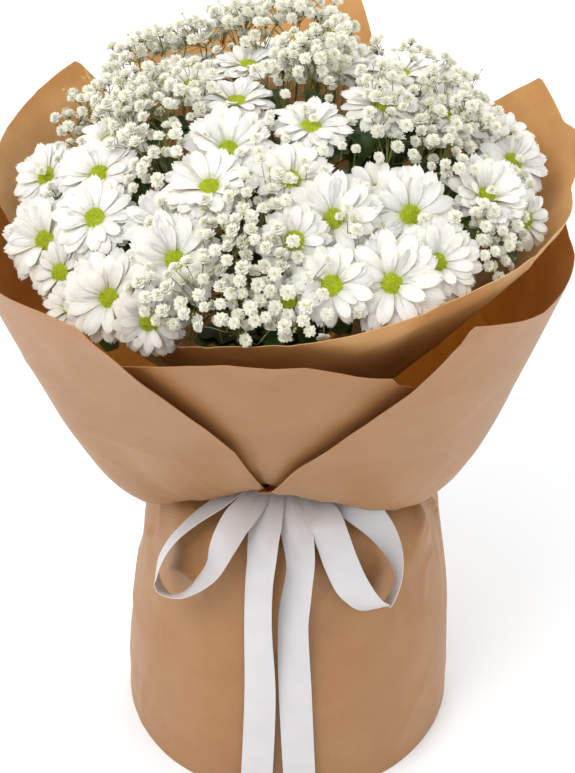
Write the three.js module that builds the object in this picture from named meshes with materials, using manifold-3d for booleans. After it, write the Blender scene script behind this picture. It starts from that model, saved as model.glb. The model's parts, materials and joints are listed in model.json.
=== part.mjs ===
// A hand-tied bunch of white spray daisies with gypsophila, in kraft paper tied with satin ribbon.
// Millimetres, +Z up. The origin is the cut end of the middle stem, on the surface that the bunch stands on.
// Turns are degrees round from the front (-Y), and they grow towards the right (+X).

import * as THREE from "three";
import { mergeVertices } from "three/addons/utils/BufferGeometryUtils.js";
import Module from "manifold-3d";

const wasm = await Module();
wasm.setup();

// Driving dimensions

const PAPER = 0.8; // thickness of each paper sheet
const WAIST_LOW = 258; // the tie holds everything between these two heights
const WAIST_HIGH = 277;
const CLIMB_ROWS = [0.1, 0.35, 0.65, 1]; // how each sheet's climb from its foot to its top edge is shared out

const SKIRT = [
  [0, 133],
  [60, 129.5],
  [120, 124.5],
  [175, 116],
  [214, 110],
  [233, 99],
  [244, 77],
  [250, 50],
  [255, 17.6],
  [276, 17.6],
]; // height and radius, from the hem over the shoulder and into the tie
const SKIRT_ROWS = [0.05, 90, 165, 210, 233, 246, 255, 276]; // heights, the lowest just clear of 0
const SKIRT_SWAY = 4; // the shoulder stands this far to the right of the hem
const SKIRT_PLEAT = 1.8; // depth of the gathers under the shoulder

// The inner sheets are parts of a funnel that all leave the tie at its top, and each has its own top edge.
const FUNNEL_RIM = 193; // radius at the height below, before each sheet's own flare
const FUNNEL_RIM_HEIGHT = 485;
const FUNNEL_BACK = 10; // the rim reaches this much further at the back, and nearer at the front
const FUNNEL_LEFT = 3;
const FUNNEL_BOW = 0.85; // under 1, the funnel opens fastest near the tie
const FUNNEL_FLAT = 0.45; // slope above the rim, as a share of the slope below it
const FUNNEL_WAVE = 1.6;
const FUNNEL_WAVES = 5; // round a full turn
const SHEETS = {
  paper_back: {
    waist: 14.8,
    flare: 4,
    top: [[148, 440], [157, 462], [161, 486], [165, 518], [170, 531], [186, 509], [198, 498], [205, 494],
      [215, 509]],
  },
  paper_left: {
    waist: 14.8,
    flare: 15,
    top: [[218, 462], [221, 472], [225, 497], [238, 490], [257, 483], [270, 474], [277, 452], [292, 400]],
  },
  paper_right: {
    waist: 14.8,
    flare: 0,
    top: [[-26, 400], [-17, 468], [0, 484], [18, 497], [40, 502], [59, 496], [70, 491], [91, 480], [103, 500],
      [109, 496], [120, 511], [129, 481], [145, 455]],
  },
};

// The collar is one big sheet. It leaves the tie nearly flat, sags over the ribbon and turns up into a bowl.
// Its two front edges run down to the tie, where the right one starts and the left one, a full turn on, ends.
const COLLAR_WAIST = 19.1;
const COLLAR_TOP = [
  [-8.5, 286], [-4, 312], [3, 356], [13, 405], [22, 444], [27, 468], [31, 499], [44, 477], [55, 459],
  [72, 450], [90, 442], [135, 448], [180, 455], [235, 462], [270, 478], [307, 490], [326, 501], [331, 482],
  [334, 456], [343, 410], [348, 372], [349.5, 314],
];
const COLLAR_FOLD = [
  [-9, 73, 275], [7, 79, 273], [26, 92, 267], [36, 103, 262], [53, 116, 256], [67, 121, 252], [90, 122, 250],
  [270, 122, 248], [300, 121, 250], [316, 95, 258], [334, 73, 265], [350, 72, 275],
]; // turn, radius and height of the soft fold at its foot
const BOWL_RIM = 218; // radius at the height below
const BOWL_RIM_HEIGHT = 490;
const BOWL_LEFT = 9; // the rim reaches this much further on the left, and nearer on the right
const BOWL_BOW = 0.7;
const BOWL_FLAT = 0.5; // slope above the rim, as a share of the slope below it

// The front sheet lies inside the collar's bowl and closes the gap between the collar's two front edges.
const FRONT_WAIST = 16.4;
const FRONT_RISE = 3; // its fold is this much above the collar's
const FRONT_INSIDE = 12; // and its rim this much further in
const FRONT_TOP = [
  [307, 413], [326, 450], [334, 464], [343, 477], [349.5, 484], [363, 480], [373, 463], [382, 448],
  [391, 429], [404, 399],
];

const RIBBON_WIDTH = 25;
const RIBBON = 1; // thickness
const BAND_RADIUS = 20.6;
const KNOT = [-3, -33, 266];
const KNOT_SIZE = [16, 13.2, 10]; // half its width, depth and height
// Points that the middle of each strip of ribbon runs through from the knot, and how far the strip has rolled
// there. It lies flat at 0 and at 180 degrees and stands on edge at 90.
const TAILS = [
  [[-6, -36, 265, 0], [-9, -56, 263, 0], [-13, -76, 259, 5], [-17, -96, 249, 15], [-19, -111, 236, 25],
    [-21, -118, 218, 28], [-22, -121, 180, 25], [-21, -129, 110, 10], [-25, -137, 8, 0]],
  [[0, -36, 265, 0], [2, -56, 263, 0], [4, -76, 259, 10], [7, -96, 249, 25], [9, -112, 236, 38],
    [7.5, -119, 218, 42], [4, -122, 180, 30], [6, -130, 110, 8], [10, -138, 10, 0]],
];
const LOOPS = [
  [[-6, -34, 267, 0], [-28, -52, 262, 5], [-49, -68, 256, 20], [-65, -74, 245, 55], [-84, -81, 231, 72],
    [-97, -84, 211, 80], [-101, -87, 193, 84], [-91, -98, 187, 90], [-74, -107, 203, 108],
    [-57, -110, 225, 123], [-48, -104, 243, 133], [-38, -91, 254, 145], [-27, -77, 260, 165],
    [-6, -38, 264, 180]],
  [[0, -38, 266, 0], [15, -74, 261, 0], [27, -91, 258, 5], [33, -102, 247, 10], [39, -110, 232, 15],
    [48, -115, 213, 25], [61, -115, 195, 50], [73, -110, 194, 78], [79, -105, 209, 105], [77, -100, 226, 130],
    [71, -93, 241, 145], [60, -85, 253, 160], [45, -73, 260, 175], [2, -34, 267, 180]],
];

// The heads of the flowers make a dome, and each daisy is listed by what is seen of it.
// Node, x, y, height of its heart, its radius, the turn that it faces and its tilt from straight up.
const DAISIES = [
  ["daisy_01", 64, -142.5, 501, 26.5, 4, 52],
  ["daisy_02", 77, -94, 520, 26, 18, 45],
  ["daisy_03", 29, -107, 525, 25.5, 0, 46],
  ["daisy_04", 27, -151, 505, 22, -3, 45],
  ["daisy_05", -70, -123, 505, 26, -7, 52],
  ["daisy_06", -112, -128, 480, 25, -11, 53],
  ["daisy_07", -158, -70, 485, 25, -24, 49],
  ["daisy_08", -49, -85, 534, 25, -18, 17],
  ["daisy_09", -38, -48, 540, 25, -4, 23],
  ["daisy_10", 2, -79, 536, 23.5, 1, 24],
  ["daisy_11", 93, -122, 502, 24, 19, 46],
  ["daisy_12", 152, 1, 501, 24, 39, 42],
  ["daisy_13", 128, -63, 514, 23.5, 24, 26],
  ["daisy_14", -86, -148, 477, 20, 4, 76],
  ["daisy_15", -123, -83, 510, 24, -20, 34],
  ["daisy_16", -79, -96, 513, 21, -4, 37],
  ["daisy_17", -146, -96, 477, 18, -34, 54],
  ["daisy_18", -137, -122, 468, 17, -29, 50],
  ["daisy_19", 4, -126, 521, 20, 1, 43],
  ["daisy_20", 57, -78, 525, 20, -5, 31],
  ["daisy_21", 1, -154, 496, 14, 1, 48],
  ["daisy_22", -120, 3, 516, 24, -75, 25],
  ["daisy_23", -123, -46, 520, 23.5, -24, 23],
  ["daisy_24", -164, -1, 491, 21.5, -46, 38],
  ["daisy_25", 113, 20, 525, 23.5, 38, 16],
  ["daisy_26", 154, -62, 496, 18, 35, 52],
  ["daisy_27", 78, 58, 537, 23, 10, 4],
  ["daisy_28", 106, 68, 520, 22, 55, 11],
  ["daisy_29", 32, 54, 545, 22, 176, 2],
  ["daisy_30", -66, 44, 536, 22, -115, 9],
  ["daisy_31", -28, 60, 543, 21.5, -170, 4],
  ["daisy_32", 15, -32, 547, 22.5, 21, 6],
  ["daisy_33", -34, 1, 547, 22, -17, 2],
  ["daisy_34", 62, -10, 550, 22, 38, 11],
  ["daisy_35", -115, 117, 486, 21, -105, 15],
  ["daisy_36", -70, 92, 524, 22, -165, 14],
  ["daisy_37", -4, 136, 511, 23, -178, 9],
  ["daisy_38", 50, 106, 522, 22, 163, 9],
  ["daisy_39", 151, 34, 505, 20, 90, 24],
  ["daisy_40", 135, 98, 485, 20, 115, 17],
  ["daisy_41", 95, 105, 505, 21, 150, 18],
  ["daisy_42", 23, 164, 486, 21, 178, 16],
  ["daisy_43", -39, 154, 489, 21, -171, 18],
];
const DISC = 6.6; // radius of the yellow heart
const HOLE = 5.2; // the petals stand in a ring round the neck, with this inner radius
const PETAL_THICK = 1.5; // at the middle of a petal
const PETAL_FOOT = 0.8; // thickness round the inside of the ring
const PETAL_VALLEY = 0.42; // where two petals part, as a share of the radius
const PETAL_SHOULDER = 0.74;
const PETAL_MIDDLE = 0.6;
const LAYERS = 1.8; // how far a petal's tip stands above or below the middle of the ring
const CUP = 0.16; // how far the petals rise for each millimetre out
// Heights along a daisy's own axis, from the foot of its petals.
const TWIG_BEND = -26;
const CALYX_FOOT = -8;
const CALYX_RIM = -1.5;
const NECK_FOOT = -1.2;
const NECK_TOP = 1.6;
const DISC_RIM = 2;
const DISC_TOP = 4.2;

// Stems cross at the tie in a spiral, so each stands on the surface on the far side of the bunch.
// The daisy stems stand in a ring round the middle one, and the gypsophila stems in a ring round those.
const DAISY_STEM = 3; // radius
const DAISY_RING = 6.7;
const DAISY_LEAN = 9; // degrees from upright, along the ring
const FILLER_STEM = 2;
const FILLER_RING = 11.9;
const FILLER_LEAN = 15;
const LOWER_BEND = 130; // heights between which a stem is straight
const UPPER_BEND = 330;
const TWIG = 1.5;
const STALK = 1.2;
// Where each daisy stem forks into its spray.
const MIDDLE = "daisy_spray_middle";
const SPRAYS = {
  daisy_spray_middle: [0, 0, 450],
  daisy_spray_front: [4, -66, 425],
  daisy_spray_right: [66, -12, 425],
  daisy_spray_back_right: [46, 56, 425],
  daisy_spray_back_left: [-44, 56, 425],
  daisy_spray_left: [-66, -34, 425],
};
const SPREAD = 1.9; // the outer sprays open out this much further than their forks
const LEAVES = [
  ["daisy_spray_left", -140, -52, 488, 52],
  ["daisy_spray_left", -96, -112, 486, 50],
  ["daisy_spray_front", -46, -152, 476, 52],
  ["daisy_spray_front", -26, -92, 520, 46],
  ["daisy_spray_front", 46, -126, 500, 50],
  ["daisy_spray_right", 92, -66, 512, 50],
  ["daisy_spray_right", 136, -22, 494, 52],
  ["daisy_spray_back_right", 96, 40, 512, 50],
  ["daisy_spray_back_right", 70, 108, 494, 52],
  ["daisy_spray_back_left", -112, 36, 502, 52],
  ["daisy_spray_back_left", -90, 96, 488, 50],
]; // spray, place of the tip and length
const LEAF_THICK = 0.9;
const LEAF_ARCH = 5;
const LEAF_STALK = 9; // its stalk runs this far into it
const LEAF_TROUGH = 2; // how far its middle rib lies below its edges
// How far along the leaf, and half its width there, as shares of its length.
const LEAF_LOBES = [[0, 0.03], [0.22, 0.27], [0.36, 0.13], [0.58, 0.29], [0.72, 0.13], [1, 0.03]];

// Gypsophila opens in small clusters that stand a little above the daisies, in the gaps between them.
const CLUSTERS = {
  gypsophila_front: {
    fork: [-35, -40, 440],
    clusters: [[-12, -134, 22, 7, 0], [-34, -148, 22, 7, 0], [-19, -106, 18, 4, 0], [48, -122, 14, 2, 0]],
  },
  gypsophila_right: {
    fork: [62, 3, 450],
    clusters: [[96, -22, 22, 7, 0], [118, 34, 20, 4, 0], [138, -80, 16, 5, 0]],
  },
  gypsophila_left: {
    fork: [-62, -12, 440],
    clusters: [[-96, -22, 20, 5, 0], [-98, 32, 22, 5, 0], [-80, -60, 18, 3, 0], [-66, 2, 16, 2, 0]],
  },
  gypsophila_back: {
    fork: [2, 62, 440],
    clusters: [[-62, 112, 20, 4, 12], [8, 112, 22, 6, 18], [36, 128, 18, 3, 8], [80, 88, 18, 3, 0]],
  },
}; // each cluster: x, y, how far it spreads, its florets at most and how far it stands above the dome
const FLORET = 4.8; // radius
const FLORET_NOTCH = 3.3; // radius between its points
const FLORET_HALF = 2.6; // half its height
const PEDICEL = 0.55;
const FILLER_TWIG = 0.9;
// The heads stand under a dome, which falls by the drop at the given radius.
const DOME_TOP = 556;
const DOME_DROP = 78;
const DOME_RADIUS = 186;
const DOME_POWER = 2.3;
const SEED = 20261;

const KRAFT = 0xb98a66;
const SATIN = 0xe8e6ea;
const PETAL = 0xf4f2ec;
const GREEN = 0x4f6b2a;
const FILLER = 0xdfe2cf;

// Small helpers

const radians = THREE.MathUtils.degToRad;

function around(turn, radius, height) {
  return new THREE.Vector3(radius * Math.sin(radians(turn)), -radius * Math.cos(radians(turn)), height);
}

// A smooth curve through stops of [place, value], flat beyond its ends.
function smooth(stops, place, item = 1) {
  const last = stops.length - 1;
  if (place <= stops[0][0]) return stops[0][item];
  if (place >= stops[last][0]) return stops[last][item];
  let k = 0;
  while (stops[k + 1][0] < place) k += 1;
  const slope = (i) => {
    const a = stops[Math.max(i - 1, 0)];
    const b = stops[Math.min(i + 1, last)];
    return (b[item] - a[item]) / (b[0] - a[0]);
  };
  const width = stops[k + 1][0] - stops[k][0];
  const t = (place - stops[k][0]) / width;
  const rise = stops[k + 1][item] - stops[k][item];
  const start = slope(k) * width;
  const end = slope(k + 1) * width;
  return stops[k][item] + t * (start + t * (3 * rise - 2 * start - end + t * (start + end - 2 * rise)));
}

// Places at every stop and evenly between them, no further apart than widest.
function spaced(stops, widest) {
  const places = [stops[0][0]];
  for (let i = 1; i < stops.length; i += 1) {
    const from = stops[i - 1][0];
    const parts = Math.ceil((stops[i][0] - from) / widest);
    for (let k = 1; k <= parts; k += 1) places.push(from + ((stops[i][0] - from) * k) / parts);
  }
  return places;
}

function meshOf(name, geometry, color, roughness) {
  const mesh = new THREE.Mesh(geometry, new THREE.MeshStandardMaterial({ color, roughness, metalness: 0 }));
  mesh.name = name;
  return mesh;
}

function geometryFrom(points, triangles) {
  const geometry = new THREE.BufferGeometry().setFromPoints(points);
  geometry.setIndex(triangles.flat());
  return geometry;
}

// A closed sheet of the given thickness about a grid of points, grid[column][row].
// Columns run to the right round the outside and rows run up. A closed grid joins its last and first columns.
function sheetFrom(grid, thickness, closed = false) {
  const columns = grid.length;
  const rows = grid[0].length;
  const at = (i, j) => {
    const column = closed ? (i + columns) % columns : Math.min(Math.max(i, 0), columns - 1);
    return grid[column][Math.min(Math.max(j, 0), rows - 1)];
  };
  const points = [];
  for (let i = 0; i < columns; i += 1) {
    for (let j = 0; j < rows; j += 1) {
      const across = at(i + 1, j).clone().sub(at(i - 1, j));
      const up = at(i, j + 1).clone().sub(at(i, j - 1));
      const out = across.cross(up).normalize().multiplyScalar(thickness / 2);
      points.push(grid[i][j].clone().add(out), grid[i][j].clone().sub(out));
    }
  }
  const outer = (i, j) => 2 * ((i % columns) * rows + j);
  const inner = (i, j) => outer(i, j) + 1;
  const triangles = [];
  const quad = (a, b, c, d) => triangles.push([a, b, c], [a, c, d]);
  const spans = closed ? columns : columns - 1;
  for (let i = 0; i < spans; i += 1) {
    for (let j = 0; j < rows - 1; j += 1) {
      quad(outer(i, j), outer(i + 1, j), outer(i + 1, j + 1), outer(i, j + 1));
      quad(inner(i + 1, j + 1), inner(i + 1, j), inner(i, j), inner(i, j + 1));
    }
    quad(outer(i + 1, 0), outer(i, 0), inner(i, 0), inner(i + 1, 0));
    quad(outer(i, rows - 1), outer(i + 1, rows - 1), inner(i + 1, rows - 1), inner(i, rows - 1));
  }
  if (!closed) {
    const end = columns - 1;
    for (let j = 0; j < rows - 1; j += 1) {
      quad(outer(0, j), outer(0, j + 1), inner(0, j + 1), inner(0, j));
      quad(outer(end, j + 1), outer(end, j), inner(end, j), inner(end, j + 1));
    }
  }
  return geometryFrom(points, triangles);
}

// Paper

// Two sets of pleats cross under the shoulder, and both fade out towards the hem and at the tie.
function skirtPoint(turn, height) {
  const pleats = Math.sin(radians(turn * 7 + 30)) + 0.7 * Math.sin(radians(turn * 12 + 80));
  const gathered = Math.exp(-(((height - 222) / 34) ** 2));
  const loose = Math.min(1, Math.max(0, (WAIST_LOW - height) / 30));
  const point = around(turn, smooth(SKIRT, height) + SKIRT_PLEAT * pleats * gathered * loose, height);
  point.x += SKIRT_SWAY * Math.min(1, height / 200) * loose;
  return point;
}

function skirtGeometry() {
  const grid = [];
  for (let turn = 0; turn < 360; turn += 15) grid.push(SKIRT_ROWS.map((height) => skirtPoint(turn, height)));
  return sheetFrom(grid, PAPER, true);
}

// How far a sheet has opened from its foot towards its rim, for a share of the climb between them.
function opening(climb, bow, flat) {
  return climb < 1 ? climb ** bow : 1 + flat * (climb - 1);
}

function funnelPoint(sheet, turn, height) {
  const foot = WAIST_HIGH + 1;
  const climb = Math.max(0, (height - foot) / (FUNNEL_RIM_HEIGHT - foot));
  const angle = radians(turn);
  const rim = FUNNEL_RIM + sheet.flare - FUNNEL_BACK * Math.cos(angle) - FUNNEL_LEFT * Math.sin(angle);
  const wave = FUNNEL_WAVE * Math.sin(FUNNEL_WAVES * angle) * climb;
  const radius = sheet.waist + (rim - sheet.waist) * opening(climb, FUNNEL_BOW, FUNNEL_FLAT) + wave;
  return around(turn, radius, height);
}

function funnelGeometry(sheet) {
  const foot = WAIST_HIGH + 1;
  const grid = spaced(sheet.top, 16).map((turn) => {
    const climb = smooth(sheet.top, turn) - foot;
    const heights = [WAIST_LOW + 1, foot, ...CLIMB_ROWS.map((share) => foot + climb * share)];
    return heights.map((height) => funnelPoint(sheet, turn, height));
  });
  return sheetFrom(grid, PAPER);
}

// From the fold up to the sheet's top edge, in a bowl that comes the given distance inside the collar's.
function bowlPoints(turn, foldRadius, foldHeight, top, inside) {
  const rim = BOWL_RIM - inside - BOWL_LEFT * Math.sin(radians(turn));
  return CLIMB_ROWS.map((share) => {
    const height = foldHeight + (top - foldHeight) * share;
    const climb = (height - foldHeight) / (BOWL_RIM_HEIGHT - foldHeight);
    return around(turn, foldRadius + (rim - foldRadius) * opening(climb, BOWL_BOW, BOWL_FLAT), height);
  });
}

function collarColumn(turn) {
  const foldRadius = smooth(COLLAR_FOLD, turn, 1);
  const foldHeight = smooth(COLLAR_FOLD, turn, 2);
  return [
    around(turn, COLLAR_WAIST, WAIST_LOW),
    around(turn, COLLAR_WAIST, WAIST_HIGH),
    around(turn, COLLAR_WAIST + 9, WAIST_HIGH + 5),
    around(turn, 0.75 * foldRadius + 10, foldHeight + 5),
    around(turn, foldRadius, foldHeight),
    ...bowlPoints(turn, foldRadius, foldHeight, smooth(COLLAR_TOP, turn), 0),
  ];
}

function frontColumn(turn) {
  const place = turn > 350 ? turn - 360 : turn;
  const foldRadius = smooth(COLLAR_FOLD, place, 1);
  const foldHeight = smooth(COLLAR_FOLD, place, 2) + FRONT_RISE;
  return [
    around(turn, FRONT_WAIST, WAIST_LOW + 1),
    around(turn, FRONT_WAIST, WAIST_HIGH + 1),
    around(turn, FRONT_WAIST + 10, WAIST_HIGH + 7),
    around(turn, 0.75 * foldRadius + 10, foldHeight + 5),
    around(turn, foldRadius, foldHeight),
    ...bowlPoints(turn, foldRadius, foldHeight, smooth(FRONT_TOP, turn), FRONT_INSIDE),
  ];
}

// Ribbon

function solidFrom(geometry) {
  const bare = geometry.clone();
  bare.deleteAttribute("normal");
  bare.deleteAttribute("uv");
  const merged = mergeVertices(bare, 1e-4);
  return new wasm.Manifold(
    new wasm.Mesh({
      numProp: 3,
      vertProperties: merged.attributes.position.array,
      triVerts: new Uint32Array(merged.index.array),
    }),
  );
}

function geometryOf(solid) {
  const mesh = solid.getMesh();
  const geometry = new THREE.BufferGeometry();
  geometry.setAttribute("position", new THREE.BufferAttribute(new Float32Array(mesh.vertProperties), 3));
  geometry.setIndex(Array.from(mesh.triVerts));
  return geometry;
}

const joined = (solids) => solids.reduce((all, solid) => all.add(solid));

// A strip of ribbon along its points, narrow at the knot. Where it is flat it faces away from the skirt.
function ribbonStrip(stops, looped) {
  const path = new THREE.CatmullRomCurve3(stops.map(([x, y, z]) => new THREE.Vector3(x, y, z)));
  const rolls = stops.map((stop, k) => [k / (stops.length - 1), stop[3]]);
  const steps = stops.length;
  const rows = [];
  for (let k = 0; k <= steps; k += 1) {
    const share = k / steps;
    const middle = path.getPoint(share);
    const shoulder = Math.min(1.5, Math.max(0, (middle.z - 205) / 35));
    const out = middle.clone().setZ(0).normalize().setZ(shoulder);
    const along = path.getTangent(share);
    const across = out.cross(along).normalize().applyAxisAngle(along, radians(smooth(rolls, share)));
    const fromKnot = looped ? Math.min(share, 1 - share) : share;
    rows.push([across.multiplyScalar((RIBBON_WIDTH / 2) * Math.min(1, 0.45 + 3 * fromKnot)), middle]);
  }
  const edge = (side) => rows.map(([half, middle]) => middle.clone().addScaledVector(half, side));
  return sheetFrom([edge(1), edge(-1)], RIBBON);
}

function ribbonSolid() {
  const heights = [WAIST_LOW + 1, WAIST_HIGH - 1];
  const band = [];
  for (let turn = 0; turn < 360; turn += 20) {
    band.push(heights.map((height) => around(turn, BAND_RADIUS, height)));
  }
  const knot = new THREE.SphereGeometry(1, 8, 4);
  knot.scale(KNOT_SIZE[0], KNOT_SIZE[1], KNOT_SIZE[2]);
  knot.translate(...KNOT);
  return joined([
    solidFrom(sheetFrom(band, RIBBON, true)),
    solidFrom(knot),
    ...TAILS.map((stops) => solidFrom(ribbonStrip(stops, false))),
    ...LOOPS.map((stops) => solidFrom(ribbonStrip(stops, true))),
  ]);
}

// Daisies

function facing(turn, tilt) {
  return around(turn, Math.sin(radians(tilt)), Math.cos(radians(tilt)));
}

function petalCount(radius) {
  if (radius >= 24) return 10;
  return radius >= 18 ? 8 : 6;
}

// The ring of petals, lying flat about its own Z. Every other petal is raised, so they lie in two layers.
// A petal is thickest along its middle and sharp at its edges, and its foot runs into its neighbours' feet.
function petalRing(radius) {
  const petals = petalCount(radius);
  const half = Math.PI / petals;
  const points = [];
  const triangles = [];
  const spot = (angle, share, lift, thick) => {
    const reach = share * radius;
    const height = CUP * (reach - HOLE) + lift * LAYERS * share + thick / 2;
    points.push(new THREE.Vector3(reach * Math.cos(angle), reach * Math.sin(angle), height));
  };
  for (let k = 0; k < petals; k += 1) {
    const angle = 2 * k * half;
    const lift = k % 2 ? 1 : -1;
    spot(angle - half, HOLE / radius, 0, PETAL_FOOT);
    spot(angle - half, HOLE / radius, 0, -PETAL_FOOT);
    spot(angle - half, PETAL_VALLEY, 0, 0);
    spot(angle - 0.88 * half, PETAL_SHOULDER, lift, 0);
    spot(angle, 1, lift, 0);
    spot(angle + 0.88 * half, PETAL_SHOULDER, lift, 0);
    spot(angle, PETAL_MIDDLE, lift, PETAL_THICK);
    spot(angle, PETAL_MIDDLE, lift, -PETAL_THICK);
    const first = 8 * k;
    const next = 8 * ((k + 1) % petals);
    const edge = [next + 2, first + 5, first + 4, first + 3, first + 2];
    const over = [first, next, ...edge];
    const under = [first + 1, next + 1, ...edge];
    over.forEach((corner, n) => {
      const after = (n + 1) % over.length;
      triangles.push([first + 6, over[after], corner], [first + 7, under[n], under[after]]);
    });
    triangles.push([first, next, next + 1], [first, next + 1, first + 1]);
  }
  return geometryFrom(points, triangles);
}

function daisyMatrix([, x, y, z, , turn, tilt]) {
  const turned = new THREE.Quaternion().setFromUnitVectors(new THREE.Vector3(0, 0, 1), facing(turn, tilt));
  return new THREE.Matrix4().compose(new THREE.Vector3(x, y, z), turned, new THREE.Vector3(1, 1, 1));
}

// Stems

function tube(points, radius, sides, steps) {
  const outline = new THREE.Shape();
  for (let k = 0; k < sides; k += 1) {
    const angle = (2 * Math.PI * k) / sides;
    outline[k ? "lineTo" : "moveTo"](radius * Math.cos(angle), radius * Math.sin(angle));
  }
  const path = points.length > 2 ? new THREE.CatmullRomCurve3(points) : new THREE.LineCurve3(...points);
  return new THREE.ExtrudeGeometry(outline, { steps, bevelEnabled: false, extrudePath: path });
}

// A stem from its cut end through the ring at the tie and on to its fork. It leans along the ring.
function stemPoints(turn, ring, lean, fork, stemRadius) {
  const tie = around(turn, ring, (WAIST_LOW + WAIST_HIGH) / 2);
  const along = around(turn + 90, Math.tan(radians(lean)), 1);
  const foot = stemRadius * Math.sin(radians(lean));
  const at = (height) => tie.clone().addScaledVector(along, height - tie.z);
  return [at(foot), at(LOWER_BEND), at(tie.z), at(UPPER_BEND), fork];
}

// The spiral turns a stem this far between the tie and its fork.
function spiralTurn(ring, lean) {
  return (Math.atan2(90 * Math.tan(radians(lean)), ring) * 180) / Math.PI;
}

// A closed body that follows stations of centre, direction and radius, the last of them drawn in to a point.
function turned(stations, side, sides) {
  const points = [];
  const triangles = [];
  for (const [centre, along, radius] of stations.slice(0, -1)) {
    const first = side.clone().addScaledVector(along, -side.dot(along)).normalize();
    const second = along.clone().cross(first);
    for (let k = 0; k < sides; k += 1) {
      const angle = (2 * Math.PI * k) / sides;
      const spoke = first.clone().multiplyScalar(Math.cos(angle)).addScaledVector(second, Math.sin(angle));
      points.push(centre.clone().addScaledVector(spoke, radius));
    }
  }
  points.push(stations[stations.length - 1][0]);
  const rings = stations.length - 1;
  const at = (ring, k) => ring * sides + (k % sides);
  for (let k = 0; k < sides; k += 1) {
    for (let ring = 0; ring < rings - 1; ring += 1) {
      triangles.push([at(ring, k), at(ring, k + 1), at(ring + 1, k + 1)]);
      triangles.push([at(ring, k), at(ring + 1, k + 1), at(ring + 1, k)]);
    }
    triangles.push([at(rings - 1, k), at(rings - 1, k + 1), points.length - 1]);
  }
  for (let k = 1; k < sides - 1; k += 1) triangles.push([0, k + 1, k]);
  return geometryFrom(points, triangles);
}

// A twig from the stem up to a daisy, with the green cup, the neck and the yellow heart at its end.
function branchTo(daisy, start) {
  const [, , , , radius, turn, tilt] = daisy;
  const matrix = daisyMatrix(daisy);
  const up = facing(turn, tilt);
  const at = (height) => new THREE.Vector3(0, 0, height).applyMatrix4(matrix);
  const disc = Math.min(DISC, 0.3 * radius + 0.4);
  const neck = HOLE - 0.8;
  const leaving = at(TWIG_BEND).sub(start).normalize();
  const stations = [
    [start, leaving, TWIG],
    [at(TWIG_BEND), leaving.clone().add(up).normalize(), TWIG],
    [at(CALYX_FOOT), up, TWIG],
    [at(CALYX_RIM), up, disc],
    [at(NECK_FOOT), up, neck],
    [at(NECK_TOP), up, neck],
    [at(DISC_RIM), up, disc],
    [at(DISC_TOP), up, 0],
  ];
  return solidFrom(turned(stations, around(turn + 90, 1, 0), 4));
}

// Each daisy grows on the spray that rises nearest below it.
function sprayOf([, x, y]) {
  const reach = ([name, [forkX, forkY]]) => {
    const spread = name === MIDDLE ? 1 : SPREAD;
    return Math.hypot(x - forkX * spread, y - forkY * spread);
  };
  return Object.entries(SPRAYS).reduce((best, spray) => (reach(spray) < reach(best) ? spray : best))[0];
}

function spraySolid(name) {
  const fork = new THREE.Vector3(...SPRAYS[name]);
  const middle = name === MIDDLE;
  const forkTurn = (Math.atan2(fork.x, -fork.y) * 180) / Math.PI;
  const stem = middle
    ? [new THREE.Vector3(0, 0, 0), new THREE.Vector3(0, 0, 200), fork]
    : stemPoints(forkTurn - spiralTurn(DAISY_RING, DAISY_LEAN), DAISY_RING, DAISY_LEAN, fork, DAISY_STEM);
  const path = new THREE.CatmullRomCurve3(stem);
  const pieces = [solidFrom(tube(stem, DAISY_STEM, middle ? 6 : 5, middle ? 2 : 6))];
  const grown = DAISIES.filter((daisy) => sprayOf(daisy) === name);
  grown.forEach((daisy, k) => pieces.push(branchTo(daisy, path.getPoint(0.99 - 0.018 * k))));
  const leaves = LEAVES.filter(([spray]) => spray === name);
  leaves.forEach((leaf, k) => pieces.push(...leafPieces(leaf, path.getPoint(0.97 - 0.04 * k))));
  return joined(pieces);
}

// A lobed leaf, with its tip at the given place and its foot towards the stem it grows from.
function leafPieces([, x, y, z, length], start) {
  const tip = new THREE.Vector3(x, y, z);
  const along = tip.clone().sub(start).normalize();
  const up = new THREE.Vector3(0, 0, 1).addScaledVector(along, -along.z).normalize();
  const across = up.clone().cross(along);
  const foot = tip.clone().addScaledVector(along, -length);
  const points = [];
  for (const [share, half] of LEAF_LOBES) {
    const arch = LEAF_ARCH * Math.sin(Math.PI * share);
    const rib = foot.clone().addScaledVector(along, share * length).addScaledVector(up, arch);
    points.push(
      rib.clone().addScaledVector(across, half * length),
      rib.clone().addScaledVector(up, LEAF_THICK / 2 - LEAF_TROUGH),
      rib.clone().addScaledVector(across, -half * length),
      rib.clone().addScaledVector(up, -LEAF_THICK / 2 - LEAF_TROUGH),
    );
  }
  const last = LEAF_LOBES.length - 1;
  for (const [end, beyond] of [[foot, -1], [tip, 1]]) {
    points.push(end.clone().addScaledVector(along, beyond).addScaledVector(up, -LEAF_TROUGH));
  }
  const triangles = [];
  // Above and below alike, each strip is cut from its outer edge forward to the rib.
  for (let k = 0; k < last; k += 1) {
    for (let side = 0; side < 4; side += 1) {
      const a = 4 * k + side;
      const b = 4 * k + ((side + 1) % 4);
      if (side % 2) triangles.push([a, b, a + 4], [b, b + 4, a + 4]);
      else triangles.push([a, b, b + 4], [a, b + 4, a + 4]);
    }
  }
  const heel = points.length - 2;
  for (let side = 0; side < 4; side += 1) {
    const next = (side + 1) % 4;
    triangles.push([heel, next, side], [heel + 1, 4 * last + side, 4 * last + next]);
  }
  const inside = foot.clone().addScaledVector(along, LEAF_STALK).addScaledVector(up, -1);
  return [solidFrom(geometryFrom(points, triangles)), solidFrom(tube([start, inside], STALK, 3, 1))];
}

// Gypsophila

function seeded(seed) {
  let state = seed;
  return () => {
    state = (state * 16807) % 2147483647;
    return state / 2147483647;
  };
}

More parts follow.
